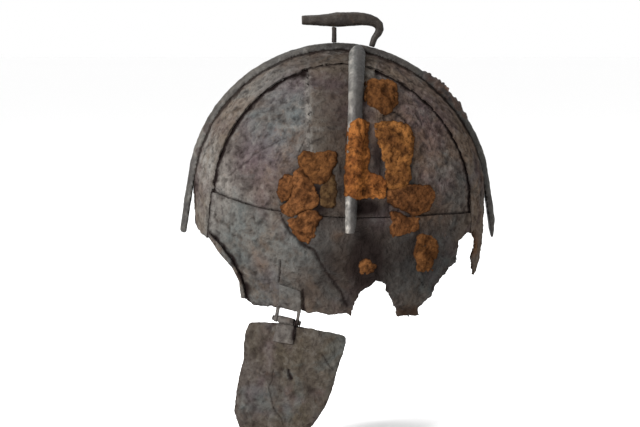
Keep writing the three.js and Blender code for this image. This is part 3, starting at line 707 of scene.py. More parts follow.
class Graph:
    """Adds and links the shader nodes of one material."""

    def __init__(self, name: str) -> None:
        """Starts a material with a shader, an output and the object's own coordinates.

        Args:
            name: The material's name.
        """
        self.material = bpy.data.materials.new(name)
        self.material.use_nodes = True
        self.tree = self.material.node_tree
        self.tree.nodes.clear()
        self.shader = self.tree.nodes.new("ShaderNodeBsdfPrincipled")
        output = self.tree.nodes.new("ShaderNodeOutputMaterial")
        self.tree.links.new(self.shader.outputs["BSDF"], output.inputs["Surface"])
        self.place = self.tree.nodes.new("ShaderNodeTexCoord").outputs["Object"]

    def put(self, socket: Socket, value: object) -> None:
        """Links or sets one input.

        Args:
            socket: The input.
            value: Another node's output, or a plain value.
        """
        if isinstance(value, bpy.types.NodeSocket):
            self.tree.links.new(value, socket)
        else:
            socket.default_value = value

    def noise(self, size: float, detail: float = 4.0, rough: float = 0.6, warp: float = 0.0) -> Socket:
        """A noise whose lumps have a real size.

        Args:
            size: The lumps' size in metres.
            detail: How many finer layers it has.
            rough: How strong the finer layers are.
            warp: How far it is twisted.

        Returns:
            The noise, from 0 to 1.
        """
        node = self.tree.nodes.new("ShaderNodeTexNoise")
        self.put(node.inputs["Vector"], self.place)
        node.inputs["Scale"].default_value = 0.5 / size
        node.inputs["Detail"].default_value = detail
        node.inputs["Roughness"].default_value = rough
        node.inputs["Distortion"].default_value = warp
        return node.outputs["Fac"]

    def cells(self, size: float, feature: str = "F1", twist: float = 0.0) -> Socket:
        """Cells of a real size.

        Args:
            size: The cells' size in metres.
            feature: F1 for the middles, DISTANCE_TO_EDGE for the cracks.
            twist: How far noise moves the cells, in metres.

        Returns:
            The distance.
        """
        place = self.place
        if twist:
            wander = self.tree.nodes.new("ShaderNodeTexNoise")
            self.put(wander.inputs["Vector"], self.place)
            wander.inputs["Scale"].default_value = 0.7 / size
            move = self.tree.nodes.new("ShaderNodeVectorMath")
            move.operation = "MULTIPLY_ADD"
            self.put(move.inputs[0], wander.outputs["Color"])
            move.inputs[1].default_value = (twist, twist, twist)
            self.put(move.inputs[2], self.place)
            place = move.outputs["Vector"]
        node = self.tree.nodes.new("ShaderNodeTexVoronoi")
        node.feature = feature
        self.put(node.inputs["Vector"], place)
        node.inputs["Scale"].default_value = 1.0 / size
        return node.outputs["Distance"]

    def span(self, value: Socket, low: float, high: float, start: float = 0.0, end: float = 1.0) -> Socket:
        """A value moved from one range to another, and kept in it.

        Args:
            value: The value.
            low: Where the first range starts.
            high: Where it ends.
            start: Where the new range starts.
            end: Where it ends.

        Returns:
            The new value.
        """
        node = self.tree.nodes.new("ShaderNodeMapRange")
        self.put(node.inputs["Value"], value)
        for name, number in (("From Min", low), ("From Max", high), ("To Min", start), ("To Max", end)):
            node.inputs[name].default_value = number
        return node.outputs["Result"]

    def sums(self, how: str, first: object, second: object) -> Socket:
        """One sum of two values.

        Args:
            how: The name of the operation.
            first: The first value.
            second: The second value.

        Returns:
            The result.
        """
        node = self.tree.nodes.new("ShaderNodeMath")
        node.operation = how
        self.put(node.inputs[0], first)
        self.put(node.inputs[1], second)
        return node.outputs["Value"]

    def mix(self, share: object, first: object, second: object, how: str = "MIX") -> Socket:
        """Two colours mixed.

        Args:
            share: How much of the second is taken.
            first: The first colour.
            second: The second colour.
            how: The name of the blend.

        Returns:
            The colour.
        """
        node = self.tree.nodes.new("ShaderNodeMix")
        node.data_type = "RGBA"
        node.blend_type = how
        self.put(node.inputs[0], share)
        for socket, colour in ((node.inputs[6], first), (node.inputs[7], second)):
            self.put(socket, (*colour, 1.0) if isinstance(colour, tuple) else colour)
        return node.outputs[2]

    def mark(self, name: str) -> Socket:
        """The value that the mesh keeps at each place.

        Args:
            name: The name that it is kept under.

        Returns:
            The value.
        """
        node = self.tree.nodes.new("ShaderNodeAttribute")
        node.attribute_name = name
        return node.outputs["Fac"]

    def bump(self, height: Socket, depth: float, strength: float, below: Socket | None = None) -> Socket:
        """A bump of a real depth.

        Args:
            height: The height, from 0 to 1.
            depth: The depth in metres.
            strength: How strongly it shows.
            below: A coarser bump that it lies on.

        Returns:
            The normal.
        """
        node = self.tree.nodes.new("ShaderNodeBump")
        node.inputs["Distance"].default_value = depth
        node.inputs["Strength"].default_value = strength
        self.put(node.inputs["Height"], height)
        if below is not None:
            self.put(node.inputs["Normal"], below)
        return node.outputs["Normal"]


@dataclass(frozen=True)
class IronFinish:
    """Old corroded iron."""

    name: str
    base: Row = (0.038, 0.032, 0.028)
    warm: Row = (0.05, 0.037, 0.028)
    blue: Row = (0.035, 0.041, 0.041)
    purple: Row = (0.038, 0.027, 0.029)
    # dark is the colour of dark stains and of painted shade in hollows, cracks and shadows; pale is the
    # colour of pale stains and of painted highlights.
    dark: Row = (0.0056, 0.0039, 0.0036)
    pale: Row = (0.1, 0.094, 0.086)
    rust: Row = (0.058, 0.029, 0.0135)
    flecks: float = 0.22
    roughness: float = 0.82
    gloss: float = 0.0
    bumps: float = 0.9
    # How strong the painted shade and highlights that follow the bumps are, and how dark the pits are.
    spots: float = 1.0
    broad_size: float = 38 * MM
    blue_size: float = 17 * MM
    purple_size: float = 23 * MM
    breakup_size: float = 5 * MM
    coarse_size: float = 5.2 * MM
    fine_size: float = 2.6 * MM
    fleck_size: float = 2.9 * MM
    fleck_spread: float = 21 * MM
    pit_size: float = 4.4 * MM
    pit_twist: float = 2.4 * MM
    swell_size: float = 15 * MM
    swell_depth: float = 5 * MM
    coarse_depth: float = 5.2 * MM
    fine_depth: float = 1.1 * MM

    def paint(self, graph: Graph, coarse: Socket, fine: Socket) -> Socket:
        """Mixes the iron's colours, with painted shade and highlights that follow the bumps.

        Args:
            graph: The material's nodes.
            coarse: The coarse noise.
            fine: The fine noise.

        Returns:
            The colour.
        """
        broad = graph.noise(self.broad_size, 3, 0.55, 0.4)
        colour = graph.mix(graph.span(broad, 0.4, 0.6), self.base, self.warm)
        bluish = graph.span(graph.noise(self.blue_size, 4, 0.6, 0.8), 0.5, 0.68, 0, 0.7)
        purplish = graph.span(graph.noise(self.purple_size, 3, 0.6, 0.3), 0.52, 0.68, 0, 0.7)
        colour = graph.mix(purplish, graph.mix(bluish, colour, self.blue), self.purple)
        breakup = graph.span(graph.noise(self.breakup_size, 5, 0.7), 0.3, 0.6)
        for tone, paint in ((Tone.BLUE, self.blue), (Tone.PURPLE, self.purple), (Tone.PALE, self.pale)):
            colour = graph.mix(graph.sums("MULTIPLY", graph.mark(tone.value), breakup), colour, paint)
        # Painted highlights on the tops of the coarse and fine bumps.
        colour = graph.mix(graph.span(coarse, 0.54, 0.7, 0, 0.22 * self.spots), colour, self.pale)
        colour = graph.mix(graph.span(fine, 0.55, 0.7, 0, 0.3 * self.spots), colour, self.pale)
        fleck = graph.span(graph.noise(self.fleck_size, 4, 0.7), 0.58, 0.66, 0, self.flecks)
        fleck = graph.sums("MULTIPLY", fleck, graph.span(graph.noise(self.fleck_spread, 3), 0.42, 0.6))
        rust = graph.sums("MULTIPLY", graph.mark(Tone.RUST.value), graph.span(coarse, 0.38, 0.52, 0.3, 1.3))
        colour = graph.mix(graph.sums("MAXIMUM", fleck, rust), colour, self.rust)
        # Dark pits, then painted shade in the hollows of the coarse and fine bumps, then the mesh's dark tone
        # of stains and painted shade.
        pit = graph.span(graph.cells(self.pit_size, "F1", self.pit_twist), 0.08, 0.26, 0.4 * self.spots, 0)
        hollows = (
            graph.span(coarse, 0.32, 0.46, 0.5 * self.spots, 0),
            graph.span(fine, 0.34, 0.5, 0.4 * self.spots, 0),
            pit,
            graph.mark(Tone.DARK.value),
        )
        for hollow in hollows:
            colour = graph.mix(hollow, colour, self.dark)
        return colour

    def material(self) -> bpy.types.Material:
        """Makes the material.

        Returns:
            The material.
        """
        graph = Graph(self.name)
        coarse = graph.noise(self.coarse_size, 5, 0.6, 0.6)
        fine = graph.noise(self.fine_size, 4, 0.66, 0.3)
        graph.put(graph.shader.inputs["Base Color"], self.paint(graph, coarse, fine))
        rough = graph.span(coarse, 0.3, 0.7, self.roughness + 0.1, self.roughness - 0.12)
        graph.put(graph.shader.inputs["Roughness"], rough)
        graph.shader.inputs["Metallic"].default_value = 0.0
        graph.shader.inputs["Specular IOR Level"].default_value = self.gloss
        broader = graph.bump(graph.noise(self.swell_size, 4, 0.55, 0.3), self.swell_depth, self.bumps)
        lumpy = graph.bump(coarse, self.coarse_depth, self.bumps, broader)
        graph.put(graph.shader.inputs["Normal"], graph.bump(fine, self.fine_depth, self.bumps, lumpy))
        return graph.material


@dataclass(frozen=True)
class CrustFinish:
    """Thick cracked rust."""

    look: Look
    light: Row = (0.175, 0.065, 0.0175)
    deep: Row = (0.078, 0.027, 0.0085)
    shade: Row = (0.01, 0.0045, 0.0025)
    roughness: float = 0.95
    lump_size: float = 3.6 * MM
    patch_size: float = 9 * MM
    grain_size: float = 1.3 * MM
    pit_size: float = 1.9 * MM
    pit_twist: float = 1.0 * MM
    lump_depth: float = 2.4 * MM
    grain_depth: float = 0.8 * MM

    def material(self) -> bpy.types.Material:
        """Makes the material.

        Returns:
            The material.
        """
        graph = Graph(f"{self.look.value}_crust")
        lump = graph.noise(self.lump_size, 6, 0.7, 0.5)
        patch = graph.noise(self.patch_size, 3, 0.6, 0.4)
        grain = graph.noise(self.grain_size, 5, 0.75)
        colour = graph.mix(graph.span(patch, 0.4, 0.6), self.deep, self.light)
        # Painted shade in the hollows of the lumps and painted highlights on their tops, where the same noise
        # raises the bumps.
        colour = graph.mix(graph.span(lump, 0.36, 0.5, 0.66, 0), colour, self.shade)
        colour = graph.mix(graph.span(lump, 0.56, 0.7, 0, 0.6), colour, self.light)
        pit = graph.span(graph.cells(self.pit_size, "F1", self.pit_twist), 0.08, 0.3, 0.5, 0)
        # Painted shade in the grain's hollows, dark pits, and the mesh's painted shade.
        for hollow in (graph.span(grain, 0.34, 0.5, 0.62, 0), pit, graph.mark(Tone.DARK.value)):
            colour = graph.mix(hollow, colour, self.shade)
        graph.put(graph.shader.inputs["Base Color"], colour)
        graph.shader.inputs["Roughness"].default_value = self.roughness
        graph.shader.inputs["Specular IOR Level"].default_value = 0.0
        coarse = graph.bump(lump, self.lump_depth, 1.0)
        graph.put(graph.shader.inputs["Normal"], graph.bump(grain, self.grain_depth, 1.0, coarse))
        return graph.material


class Finishes:
    """All the materials, made once."""

    def __init__(self) -> None:
        """Makes every material."""
        self.band = IronFinish("band_iron", base=(0.054, 0.043, 0.034), warm=(0.067, 0.049, 0.037)).material()
        self.plate = IronFinish("plate_iron", spots=0.82).material()
        self.infill = IronFinish(
            "infill_iron",
            base=(0.045, 0.039, 0.035),
            warm=(0.06, 0.043, 0.033),
            blue=(0.043, 0.049, 0.05),
            purple=(0.045, 0.032, 0.034),
            pale=(0.115, 0.106, 0.096),
        ).material()
        self.ridge = IronFinish(
            "ridge_iron",
            base=(0.0168, 0.0152, 0.0128),
            warm=(0.0205, 0.0175, 0.0142),
            blue=(0.0165, 0.017, 0.0152),
            purple=(0.0172, 0.0142, 0.0133),
            pale=(0.054, 0.049, 0.0425),
            rust=(0.07, 0.0265, 0.009),
            flecks=0.15,
            roughness=0.6,
            gloss=0.2,
            bumps=0.45,
        ).material()
        # The side ridges' pale colour is mostly the painted highlight on their lit faces.
        self.side_ridge = IronFinish(
            "side_ridge_iron",
            base=(0.042, 0.042, 0.038),
            warm=(0.048, 0.044, 0.038),
            blue=(0.04, 0.044, 0.043),
            purple=(0.042, 0.038, 0.036),
            pale=(0.178, 0.163, 0.146),
            flecks=0.15,
            roughness=0.55,
            gloss=0.25,
            bumps=0.3,
            spots=0.45,
        ).material()
        self.crest = IronFinish(
            "crest_iron",
            base=(0.011, 0.009, 0.0071),
            warm=(0.0145, 0.011, 0.0082),
            blue=(0.0106, 0.0096, 0.0083),
            purple=(0.011, 0.0085, 0.0075),
            pale=(0.036, 0.031, 0.0265),
            flecks=0.2,
            roughness=0.55,
            gloss=0.12,
            bumps=0.3,
        ).material()
        self.cheek = IronFinish(
            "cheek_iron",
            base=(0.032, 0.0265, 0.023),
            warm=(0.033, 0.027, 0.02),
            pale=(0.08, 0.074, 0.067),
            spots=0.8,
        ).material()
        self.hinge = IronFinish(
            "hinge_iron",
            base=(0.044, 0.041, 0.038),
            warm=(0.047, 0.041, 0.036),
            blue=(0.04, 0.043, 0.042),
            purple=(0.043, 0.038, 0.036),
            bumps=0.5,
            spots=0.8,
        ).material()
        self.pin = IronFinish(
            "pin_iron",
            base=(0.022, 0.02, 0.018),
            warm=(0.025, 0.021, 0.018),
            blue=(0.02, 0.0205, 0.019),
            purple=(0.021, 0.018, 0.017),
            pale=(0.06, 0.055, 0.05),
            bumps=0.5,
        ).material()
        crusts = (
            CrustFinish(Look.ORANGE),
            CrustFinish(Look.BROWN, (0.102, 0.042, 0.0155), (0.052, 0.021, 0.008)),
            CrustFinish(Look.OLIVE, (0.055, 0.032, 0.014), (0.028, 0.016, 0.008)),
            CrustFinish(Look.RUSSET, (0.14, 0.058, 0.017), (0.066, 0.0265, 0.0088)),
            CrustFinish(Look.UMBER, (0.086, 0.036, 0.0125), (0.043, 0.0175, 0.0063)),
        )
        self.crusts = {finish.look: finish.material() for finish in crusts}


class Sheet:
    """A thin plate: a fine grid cut to an edge, laid on a form and given a thickness.

    The constants say how the grid's corners are moved onto the edge, all but ROUNDS and LEAST_SLOPE in cells.
    """

    SNAP = 0.62
    PROBE = 0.2
    STRIDE = 0.75
    ROUNDS = 2
    LEAST_SLOPE = 0.05

    def __init__(self, name: str, low: Row, high: Row, cell: float) -> None:
        """Makes the flat grid.

        Args:
            name: The finished piece's name.
            low: The grid's lowest corner in metres.
            high: Its highest corner.
            cell: The size of a cell.
        """
        self.name = name
        self.cell = cell
        self.bm = bmesh.new()
        size = np.array(high) - low
        steps = np.maximum(np.ceil(size / cell).astype(int), 1)
        bmesh.ops.create_grid(self.bm, x_segments=int(steps[0]), y_segments=int(steps[1]), size=1.0)
        bmesh.ops.scale(self.bm, vec=(size[0] / 2, size[1] / 2, 1), verts=self.bm.verts)
        middle = (np.array(low) + high) / 2
        bmesh.ops.translate(self.bm, vec=(middle[0], middle[1], 0), verts=self.bm.verts)

    def flat(self) -> Array:
        """The grid's places, two columns."""
        return np.array([v.co[:2] for v in self.bm.verts])

    def cut(self, distance: Callable[[Array], Array]) -> Array:
        """Cuts the grid to an edge, with the nearest corners moved onto it.

        Args:
            distance: Gives the signed distance to the edge, negative inside, of flat places.

        Returns:
            The remaining places' distances.
        """
        flat = self.flat()
        away = distance(flat)
        snapped = np.flatnonzero(np.abs(away) < self.SNAP * self.cell)
        step = self.PROBE * self.cell
        for _ in range(self.ROUNDS):
            here = flat[snapped]
            slope = np.column_stack([distance(here + way) - distance(here - way) for way in step * np.eye(2)])
            slope /= 2 * step
            steep = np.maximum((slope**2).sum(1), self.LEAST_SLOPE)
            move = -(distance(here) / steep)[:, None] * slope
            length = np.maximum(np.linalg.norm(move, axis=1), TINY)
            flat[snapped] += move * np.minimum(1, self.STRIDE * self.cell / length)[:, None]
        away[snapped] = 0
        mark = self.bm.verts.layers.float.new("edge")
        verts = list(self.bm.verts)
        for vert, place, value in zip(verts, flat, away):
            vert.co[:2] = place
            vert[mark] = value
        outside = [vert for vert, value in zip(verts, away) if value > 0]
        bmesh.ops.delete(self.bm, geom=outside, context="VERTS")
        loose = [vert for vert in self.bm.verts if not vert.link_faces]
        bmesh.ops.delete(self.bm, geom=loose, context="VERTS")
        return np.array([vert[mark] for vert in self.bm.verts])

    def lay(self, places: Array) -> None:
        """Moves the grid's corners to places in space.

        Args:
            places: One place for each corner.
        """
        for vert, place in zip(self.bm.verts, places):
            vert.co = place

    def finish(self, material: bpy.types.Material, thickness: float, out_from: Vector) -> bpy.types.Object:
        """Turns the grid into a plate.

        Args:
            material: The plate's material.
            thickness: The plate's thickness, inwards.
            out_from: A place inside, which the outer side faces away from.

        Returns:
            The new object.
        """
        bm = self.bm
        bm.normal_update()
        facing = sum((f.normal * f.calc_area()).dot(f.calc_center_median() - out_from) for f in bm.faces)
        if facing < 0:
            bmesh.ops.reverse_faces(bm, faces=bm.faces)
        for edge in bm.edges:
            edge.smooth = not edge.is_boundary
        for face in bm.faces:
            face.smooth = True
        obj = add_mesh(self.name, bm, material)
        wall = obj.modifiers.new("wall", "SOLIDIFY")
        wall.thickness = thickness
        wall.offset = -1
        wall.use_even_offset = False
        return obj


def add_mesh(name: str, bm: bmesh.types.BMesh, material: bpy.types.Material) -> bpy.types.Object:
    """Makes an object of a finished mesh.

    Args:
        name: The object's name.
        bm: The mesh, which is freed.
        material: Its material.

    Returns:
        The object, linked to the scene.
    """
    mesh = bpy.data.meshes.new(name)
    bm.to_mesh(mesh)
    bm.free()
    mesh.materials.append(material)
    obj = bpy.data.objects.new(name, mesh)
    bpy.context.scene.collection.objects.link(obj)
    return obj


def declare(obj: bpy.types.Object, body: str, slot: str, *nodes: str) -> None:
    """Hangs a finished piece on its body, hides the nodes that it stands for, and reports it.

    Args:
        obj: The piece.
        body: The body that it rides on.
        slot: Not used.
        nodes: The nodes that it stands for.
    """
    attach(obj, body)
    if nodes:
        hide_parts(*nodes)
    LOG.info("%s: %d faces on %s", obj.name, len(obj.data.polygons), body)


@dataclass
class PlateWork:
    """What the plates of the dome have in common."""

    dome: Dome
    plan: BandPlan
    finishes: Finishes
    band_thickness: float = 2.0 * MM
    infill_thickness: float = 1.5 * MM
    infill_offset: float = -2.35 * MM
    edge_wear: float = 0.55 * MM
    edge_wear_width: float = 1.8 * MM
    seat_height: float = 0.9 * MM
    raggedness: float = 0.8 * MM
    ragged_size: float = 8 * MM
    ragged_fine_size: float = 3 * MM
    ragged_fine_share: float = 0.8
    rim_dark: float = 0.3
    rim_width: float = 1.6 * MM
    shadow_reach: float = 1.5
    middle: Vector = field(default_factory=lambda: Vector((0, 0, 0.02)))

    def ragged(self, flat: Array, shift: float, amount: float = 1.0) -> Array:
        """The unevenness of a corroded edge.

        Args:
            flat: Flat places.
            shift: Moves the pattern.
            amount: How strong it is.

        Returns:
            A distance to add for each place.
        """
        places = np.column_stack([flat, np.full(len(flat), shift)])
        coarse = fractal(places, self.ragged_size, 3, shift)
        fine = fractal(places, self.ragged_fine_size, 2, shift)
        return amount * self.raggedness * (coarse + self.ragged_fine_share * fine)

    def shadow(self, inside: Array, width: Values) -> Array:
        """How dark it is beside a line, by the way in towards the dark side and the shadow's width."""
        return unit(self.shadow_reach + inside / width)

    def settle(
        self,
        places: Array,
        edge: Array,
        relief: Relief,
        depth: Array,
        tones: Tones,
        seat: Values = 0.0,
    ) -> Array:
        """Gives plain places their relief, worn edges and cracks.

        Args:
            places: The places on the plain form.
            edge: Their distances to the edge, negative inside.
            relief: The unevenness.
            depth: How deep a crack is at each place.
            tones: The tones, which get the shade of the hollows.
            seat: Where a ridge sits on the plate, from 0 to 1.

        Returns:
            The new places.
        """
        # The worn edges, sunk a little.
        worn_and_lit = self.edge_wear * unit(1 + edge / self.edge_wear_width) ** 2
        uneven, hollow = relief.heights(places)
        shade(tones, hollow)
        height = (uneven - worn_and_lit - depth) * (1 - seat) + self.seat_height * seat
        return places + self.dome.outwards(places) * height[:, None]

    def side_marks(self, places: Array, side: Side, edge: Array) -> tuple[Tones, Array]:
        """The tones and cracks of one side.

        Args:
            places: The places in space.
            side: Which side it is.
            edge: The distances to the edge, negative inside.

        Returns:
            The tones and the depth of the cracks.
        """
        if side is Side.LEFT:
            tones = Marks.tones(places[:, [0, 2]])
            share, depth = Marks.cracks(places[:, [0, 2]])
        else:
            tones = Marks.far_tones(places)
            share, depth = np.zeros(len(places)), np.zeros(len(places))
        # Painted shade in the cracks, and a darker rim along the plate's edge.
        raise_tone(tones, Tone.DARK, np.maximum(share, self.rim_dark * unit(1 + edge / self.rim_width)))
        tones[Tone.DARK] = unit(tones[Tone.DARK])
        return tones, depth


@dataclass
class LongBand(PlateWork):
    """The band from brow to nape."""

    cell: float = 1.15 * MM
    brow_depth: float = 22.0
    brow: tuple[Row, ...] = ((0, 1.0), (0.48, 1.2), (0.82, 1.46), (1.0, 1.72), (1.2, 1.72))
    tongue_depth: float = 64.0
    nape: tuple[Row, ...] = (
        (-1.2, 0.45), (-1.0, 0.45), (-0.87, 0.41), (-0.83, 0.62), (-0.88, 0.76), (-0.7, 0.9), (-0.5, 1.0),
        (-0.33, 0.97), (-0.27, 0.83), (-0.02, 0.76), (0.09, 0.59), (0.3, 0.49), (0.66, 0.5), (1.0, 0.45),
        (1.2, 0.45),
    )
    nape_above: tuple[Row, ...] = ((0.1, 0.2), (-0.1, 0.2))
    foot: float = -0.075
    arc_steps: int = 120
    skirt_steps: int = 60
    inset: float = 0.055
    ridge_half: float = 6.5 * MM
    near_shadow: float = 7.0 * MM
    far_shadow: float = 3.5 * MM
    shadow_size: float = 11 * MM
    shadow_dark: float = 0.85
    seat_softness: float = 4 * MM
    end_raggedness: float = 1.4
    side_raggedness: float = 0.4

    def midline(self) -> tuple[Array, Array, Array]:
        """The middle line from the brow's edge to the nape's.

        Returns:
            Its places as X and Z, its outward directions and the length run at each.
        """
        skirt = np.linspace(self.foot, 0, self.skirt_steps)[:-1]
        arc = self.dome.height * np.sin(np.linspace(0, math.pi / 2, self.arc_steps))
        heights = np.concatenate([skirt, arc])
        halves = []
        for end in End:
            reach = self.dome.half_length * self.dome.reach(heights, self.dome.height, end.value)
            halves.append(np.column_stack([end.value * reach, heights]))
        line = np.vstack([halves[0][:-1], halves[1][::-1]])
        run = np.concatenate([[0], np.cumsum(np.hypot(*np.diff(line, axis=0).T))])
        slope = np.gradient(line, run, axis=0)
        out = np.column_stack([-slope[:, 1], slope[:, 0]])
        return line, out / np.linalg.norm(out, axis=1)[:, None], run

    def build(self) -> None:
        line, out, run = self.midline()
        half = self.plan.half_width * MM
        sheet = Sheet("long_band_iron", (0.0, -half - MM), (run[-1], half + MM), self.cell)
        nape = np.vstack([np.array(self.nape) * (half, -self.tongue_depth * MM), self.nape_above])
        side, down = np.array(self.brow).T

        def place(flat: Array) -> Array:
            """Lays flat places on the dome.

            Args:
                flat: Places of the grid, as the length run and the way across.

            Returns:
                The places, three columns.
            """
            foot = np.column_stack([np.interp(flat[:, 0], run, column) for column in line.T])
            way = np.column_stack([np.interp(flat[:, 0], run, column) for column in out.T])
            way /= np.linalg.norm(way, axis=1)[:, None]
            start = foot - self.inset * way
            starts = np.column_stack([start[:, 0], flat[:, 1], start[:, 1]])
            return self.dome.hit(starts, np.column_stack([way[:, 0], np.zeros(len(way)), way[:, 1]]))

        def distance(flat: Array) -> Array:
            """The distance to the band's edge.

            Args:
                flat: Places of the grid.

            Returns:
                The distances, negative inside.
            """
            x, y, z = place(flat).T
            edge = np.abs(y) - self.plan.long_half(x, z)
            brow = -np.interp(np.abs(y) / MM / self.plan.half_width, side, down) * self.brow_depth * MM - z
            rear = outline_distance(np.column_stack([y, z]), nape)
            low = np.where(x < 0, brow, rear) + self.ragged(flat, 3, self.end_raggedness)
            return np.maximum(edge + self.ragged(flat, 11, self.side_raggedness), low)

        edge = sheet.cut(distance)
        places = place(sheet.flat())
        x, y, z = places.T
        left = y < 0
        tones, depth = self.side_marks(places, Side.LEFT, edge)
        fresh, _ = self.side_marks(places, Side.RIGHT, edge)
        for tone in Tone:
            tones[tone] = np.where(left, tones[tone], fresh[tone])
        wide = np.where(left, self.near_shadow, self.far_shadow)
        wide = wide * (1 + 0.5 * fractal(places, self.shadow_size, 3, 8))
        raise_tone(tones, Tone.DARK, self.shadow_dark * self.shadow(self.ridge_half - np.abs(y), wide))
        seat = unit(self.plan.seat_reach - np.abs(y) / self.seat_softness) * (z > 0)
        seat = np.maximum(seat, self.plan.seat(x, z))
        sheet.lay(self.settle(places, edge, Relief(shift=1), depth * left, tones, seat))
        keep_tones(sheet.bm, tones)
        band = sheet.finish(self.finishes.band, self.band_thickness, self.middle)
        declare(band, "helmet", "band_iron", "long_band")


@dataclass
class SidePlates(PlateWork):
    """The side bands, brow plates and infill plates of one side."""

    side: Side = Side.LEFT
    cell: float = 1.0 * MM
    lap: float = 9.0 * MM
    tuck: float = 3.0 * MM
    tongue: float = 6.0 * MM
    strip: float = 7.0 * MM
    strip_foot: float = -26.0 * MM
    brow_box: tuple[Row, Row] = ((-0.106, -0.091), (0.106, 0.009))
    band_box: tuple[Row, Row] = ((-0.029, -0.012), (0.034, 0.106))
    infill_reach: float = 0.106
    infill_levels: Row = (-0.03, 0.112)
    rim_level: float = -20 * MM
    rim_raggedness: float = 1.2
    top_raggedness: float = 0.3
    band_raggedness: float = 0.7
    lap_raggedness: float = 0.6
    brow_shift: float = 30.0
    band_shift: float = 40.0
    infill_shift: float = 60.0
    lap_shadow: float = 1.5 * MM
    seam_shadow: float = 1.3 * MM
    seam_dark: float = 0.8
    hidden_edge: float = -3 * MM
    front_shadow: float = 3.4 * MM
    rear_shadow: float = 1.6 * MM
    rim_front: tuple[Row, ...] = (
        (-111.4, -28.1), (-102.1, -32.3), (-95.8, -40.8), (-85.4, -52.2), (-80.3, -62.3), (-78.8, -76),
    )
    rims: dict[Side, tuple[Row, ...]] = field(
        default_factory=lambda: {
            Side.LEFT: (
                (-74.1, -79), (-69, -81.1), (-55.7, -80.3), (-40.5, -83.2), (-35.5, -81.3), (-28.4, -84),
                (-8.3, -85.3), (0.9, -83.8), (4.6, -86.9), (5.8, -79.8), (7.8, -76), (10.8, -68.5),
                (18.8, -62.3), (22.9, -58.3), (29.2, -61.7), (35.2, -74.7), (38.6, -81.4), (40.4, -88.6),
                (57.7, -88.6), (58.3, -81.9), (66.6, -76.3), (71.2, -65.9), (79.9, -55), (86.8, -48.4),
                (89.7, -32.7), (98.3, -27.6), (111.4, -28.6),
            ),
            Side.RIGHT: (
                (-69.6, -80.2), (-47.6, -81.9), (-23.2, -83.2), (-7, -81), (2.3, -78.1), (15.1, -75.6),
                (27.8, -73.1), (39.4, -76.9), (54.5, -78.1), (65, -71.8), (75.4, -58.8), (84.7, -50.4),
                (88.7, -36.1), (97.4, -29), (111.4, -28.6),
            ),
        }
    )

    @property
    def word(self) -> str:
        """The side's name, as the nodes' names end."""
        return self.side.name.lower()

    def beside_long_band(self, flat: Array, offset: float, gap: float) -> Array:
        """The distance to the long band's side, negative outside the band.

        Args:
            flat: Places of the side view.
            offset: How far out the surface is moved.
            gap: The gap that is left beside the band.

        Returns:
            The distances.
        """
        places = self.dome.side_view(flat, self.side, offset)
        return self.plan.long_half(flat[:, 0], flat[:, 1]) + gap - np.abs(places[:, 1])

    def darken(self, tones: Tones, flat: Array, offset: float, tuck: bool) -> None:
        """Paints shadow on a plate beside the pieces that lie over it or next to it.

        Args:
            tones: The tones, which are changed.
            flat: Places of the side view.
            offset: How far out the plate lies.
            tuck: Whether it lies under the bands.
        """
        inside = self.beside_long_band(flat, offset, 0.0)
        if tuck:
            below = self.plan.brow_height(flat[:, 0]) - flat[:, 1]
            inside += self.ragged(flat, 2, self.lap_raggedness)
            raise_tone(tones, Tone.DARK, self.shadow(inside, self.lap_shadow))
            raise_tone(tones, Tone.DARK, self.seam_dark * self.shadow(below, self.seam_shadow))
        else:
            wide = np.where(flat[:, 0] < 0, self.front_shadow, self.rear_shadow)
            raise_tone(tones, Tone.DARK, self.shadow(inside, wide))

    def plate(
        self,
        node: str,
        box: tuple[Row, Row],
        distance: Callable[[Array], Array],
        slot: str,
        shift: float,
        tuck: bool = False,
    ) -> None:
        """Builds one plate.

        Args:
            node: The node that the plate stands for.
            box: The lowest and highest corner of its grid.
            distance: The distance to its edge.
            slot: The record's material slot.
            shift: Moves its relief.
            tuck: Whether it is an infill plate, which lies under the bands.
        """
        band = self.finishes.band if slot == "band_iron" else self.finishes.plate
        material = self.finishes.infill if tuck else band
        offset = self.infill_offset if tuck else 0.0
        thickness = self.infill_thickness if tuck else self.band_thickness
        sheet = Sheet(node + "_iron", *box, self.cell)
        edge = sheet.cut(distance)
        flat = sheet.flat()
        places = self.dome.side_view(flat, self.side, offset)
        tones, depth = self.side_marks(places, self.side, edge)
        self.darken(tones, flat, offset, tuck)
        seat = 0.0 if tuck else self.plan.seat(flat[:, 0], flat[:, 1])
        edge = np.minimum(edge, self.hidden_edge) if tuck else edge
        sheet.lay(self.settle(places, edge, Relief(shift=shift), depth, tones, seat))
        keep_tones(sheet.bm, tones)
        declare(sheet.finish(material, thickness, self.middle), "helmet", slot, node)

    def brow_plate(self) -> None:
        """Builds the deep plate over the ear."""
        rim = self.rim_front + self.rims[self.side]
        outline = np.array(self.plan.brow_top + rim[::-1]) * MM

        def distance(flat: Array) -> Array:
            """The distance to the plate's edge.

            Args:
                flat: Places of the side view.

            Returns:
                The distances, negative inside.
            """
            seam = self.beside_long_band(flat, 0.0, self.plan.seam * MM)
            shape = outline_distance(flat, outline)
            amount = np.where(flat[:, 1] < self.rim_level, self.rim_raggedness, self.top_raggedness)
            return np.maximum(seam, shape + self.ragged(flat, 5) * amount)

        shift = self.brow_shift + self.side.value
        self.plate(f"brow_plate_{self.word}", self.brow_box, distance, "plate_iron", shift)

    def side_band(self) -> None:
        """Builds the band that comes down the side."""
        levels = self.plan.side_front + self.plan.side_rear[::-1]
        outline = np.array([(x, z) for z, x in levels]) * MM

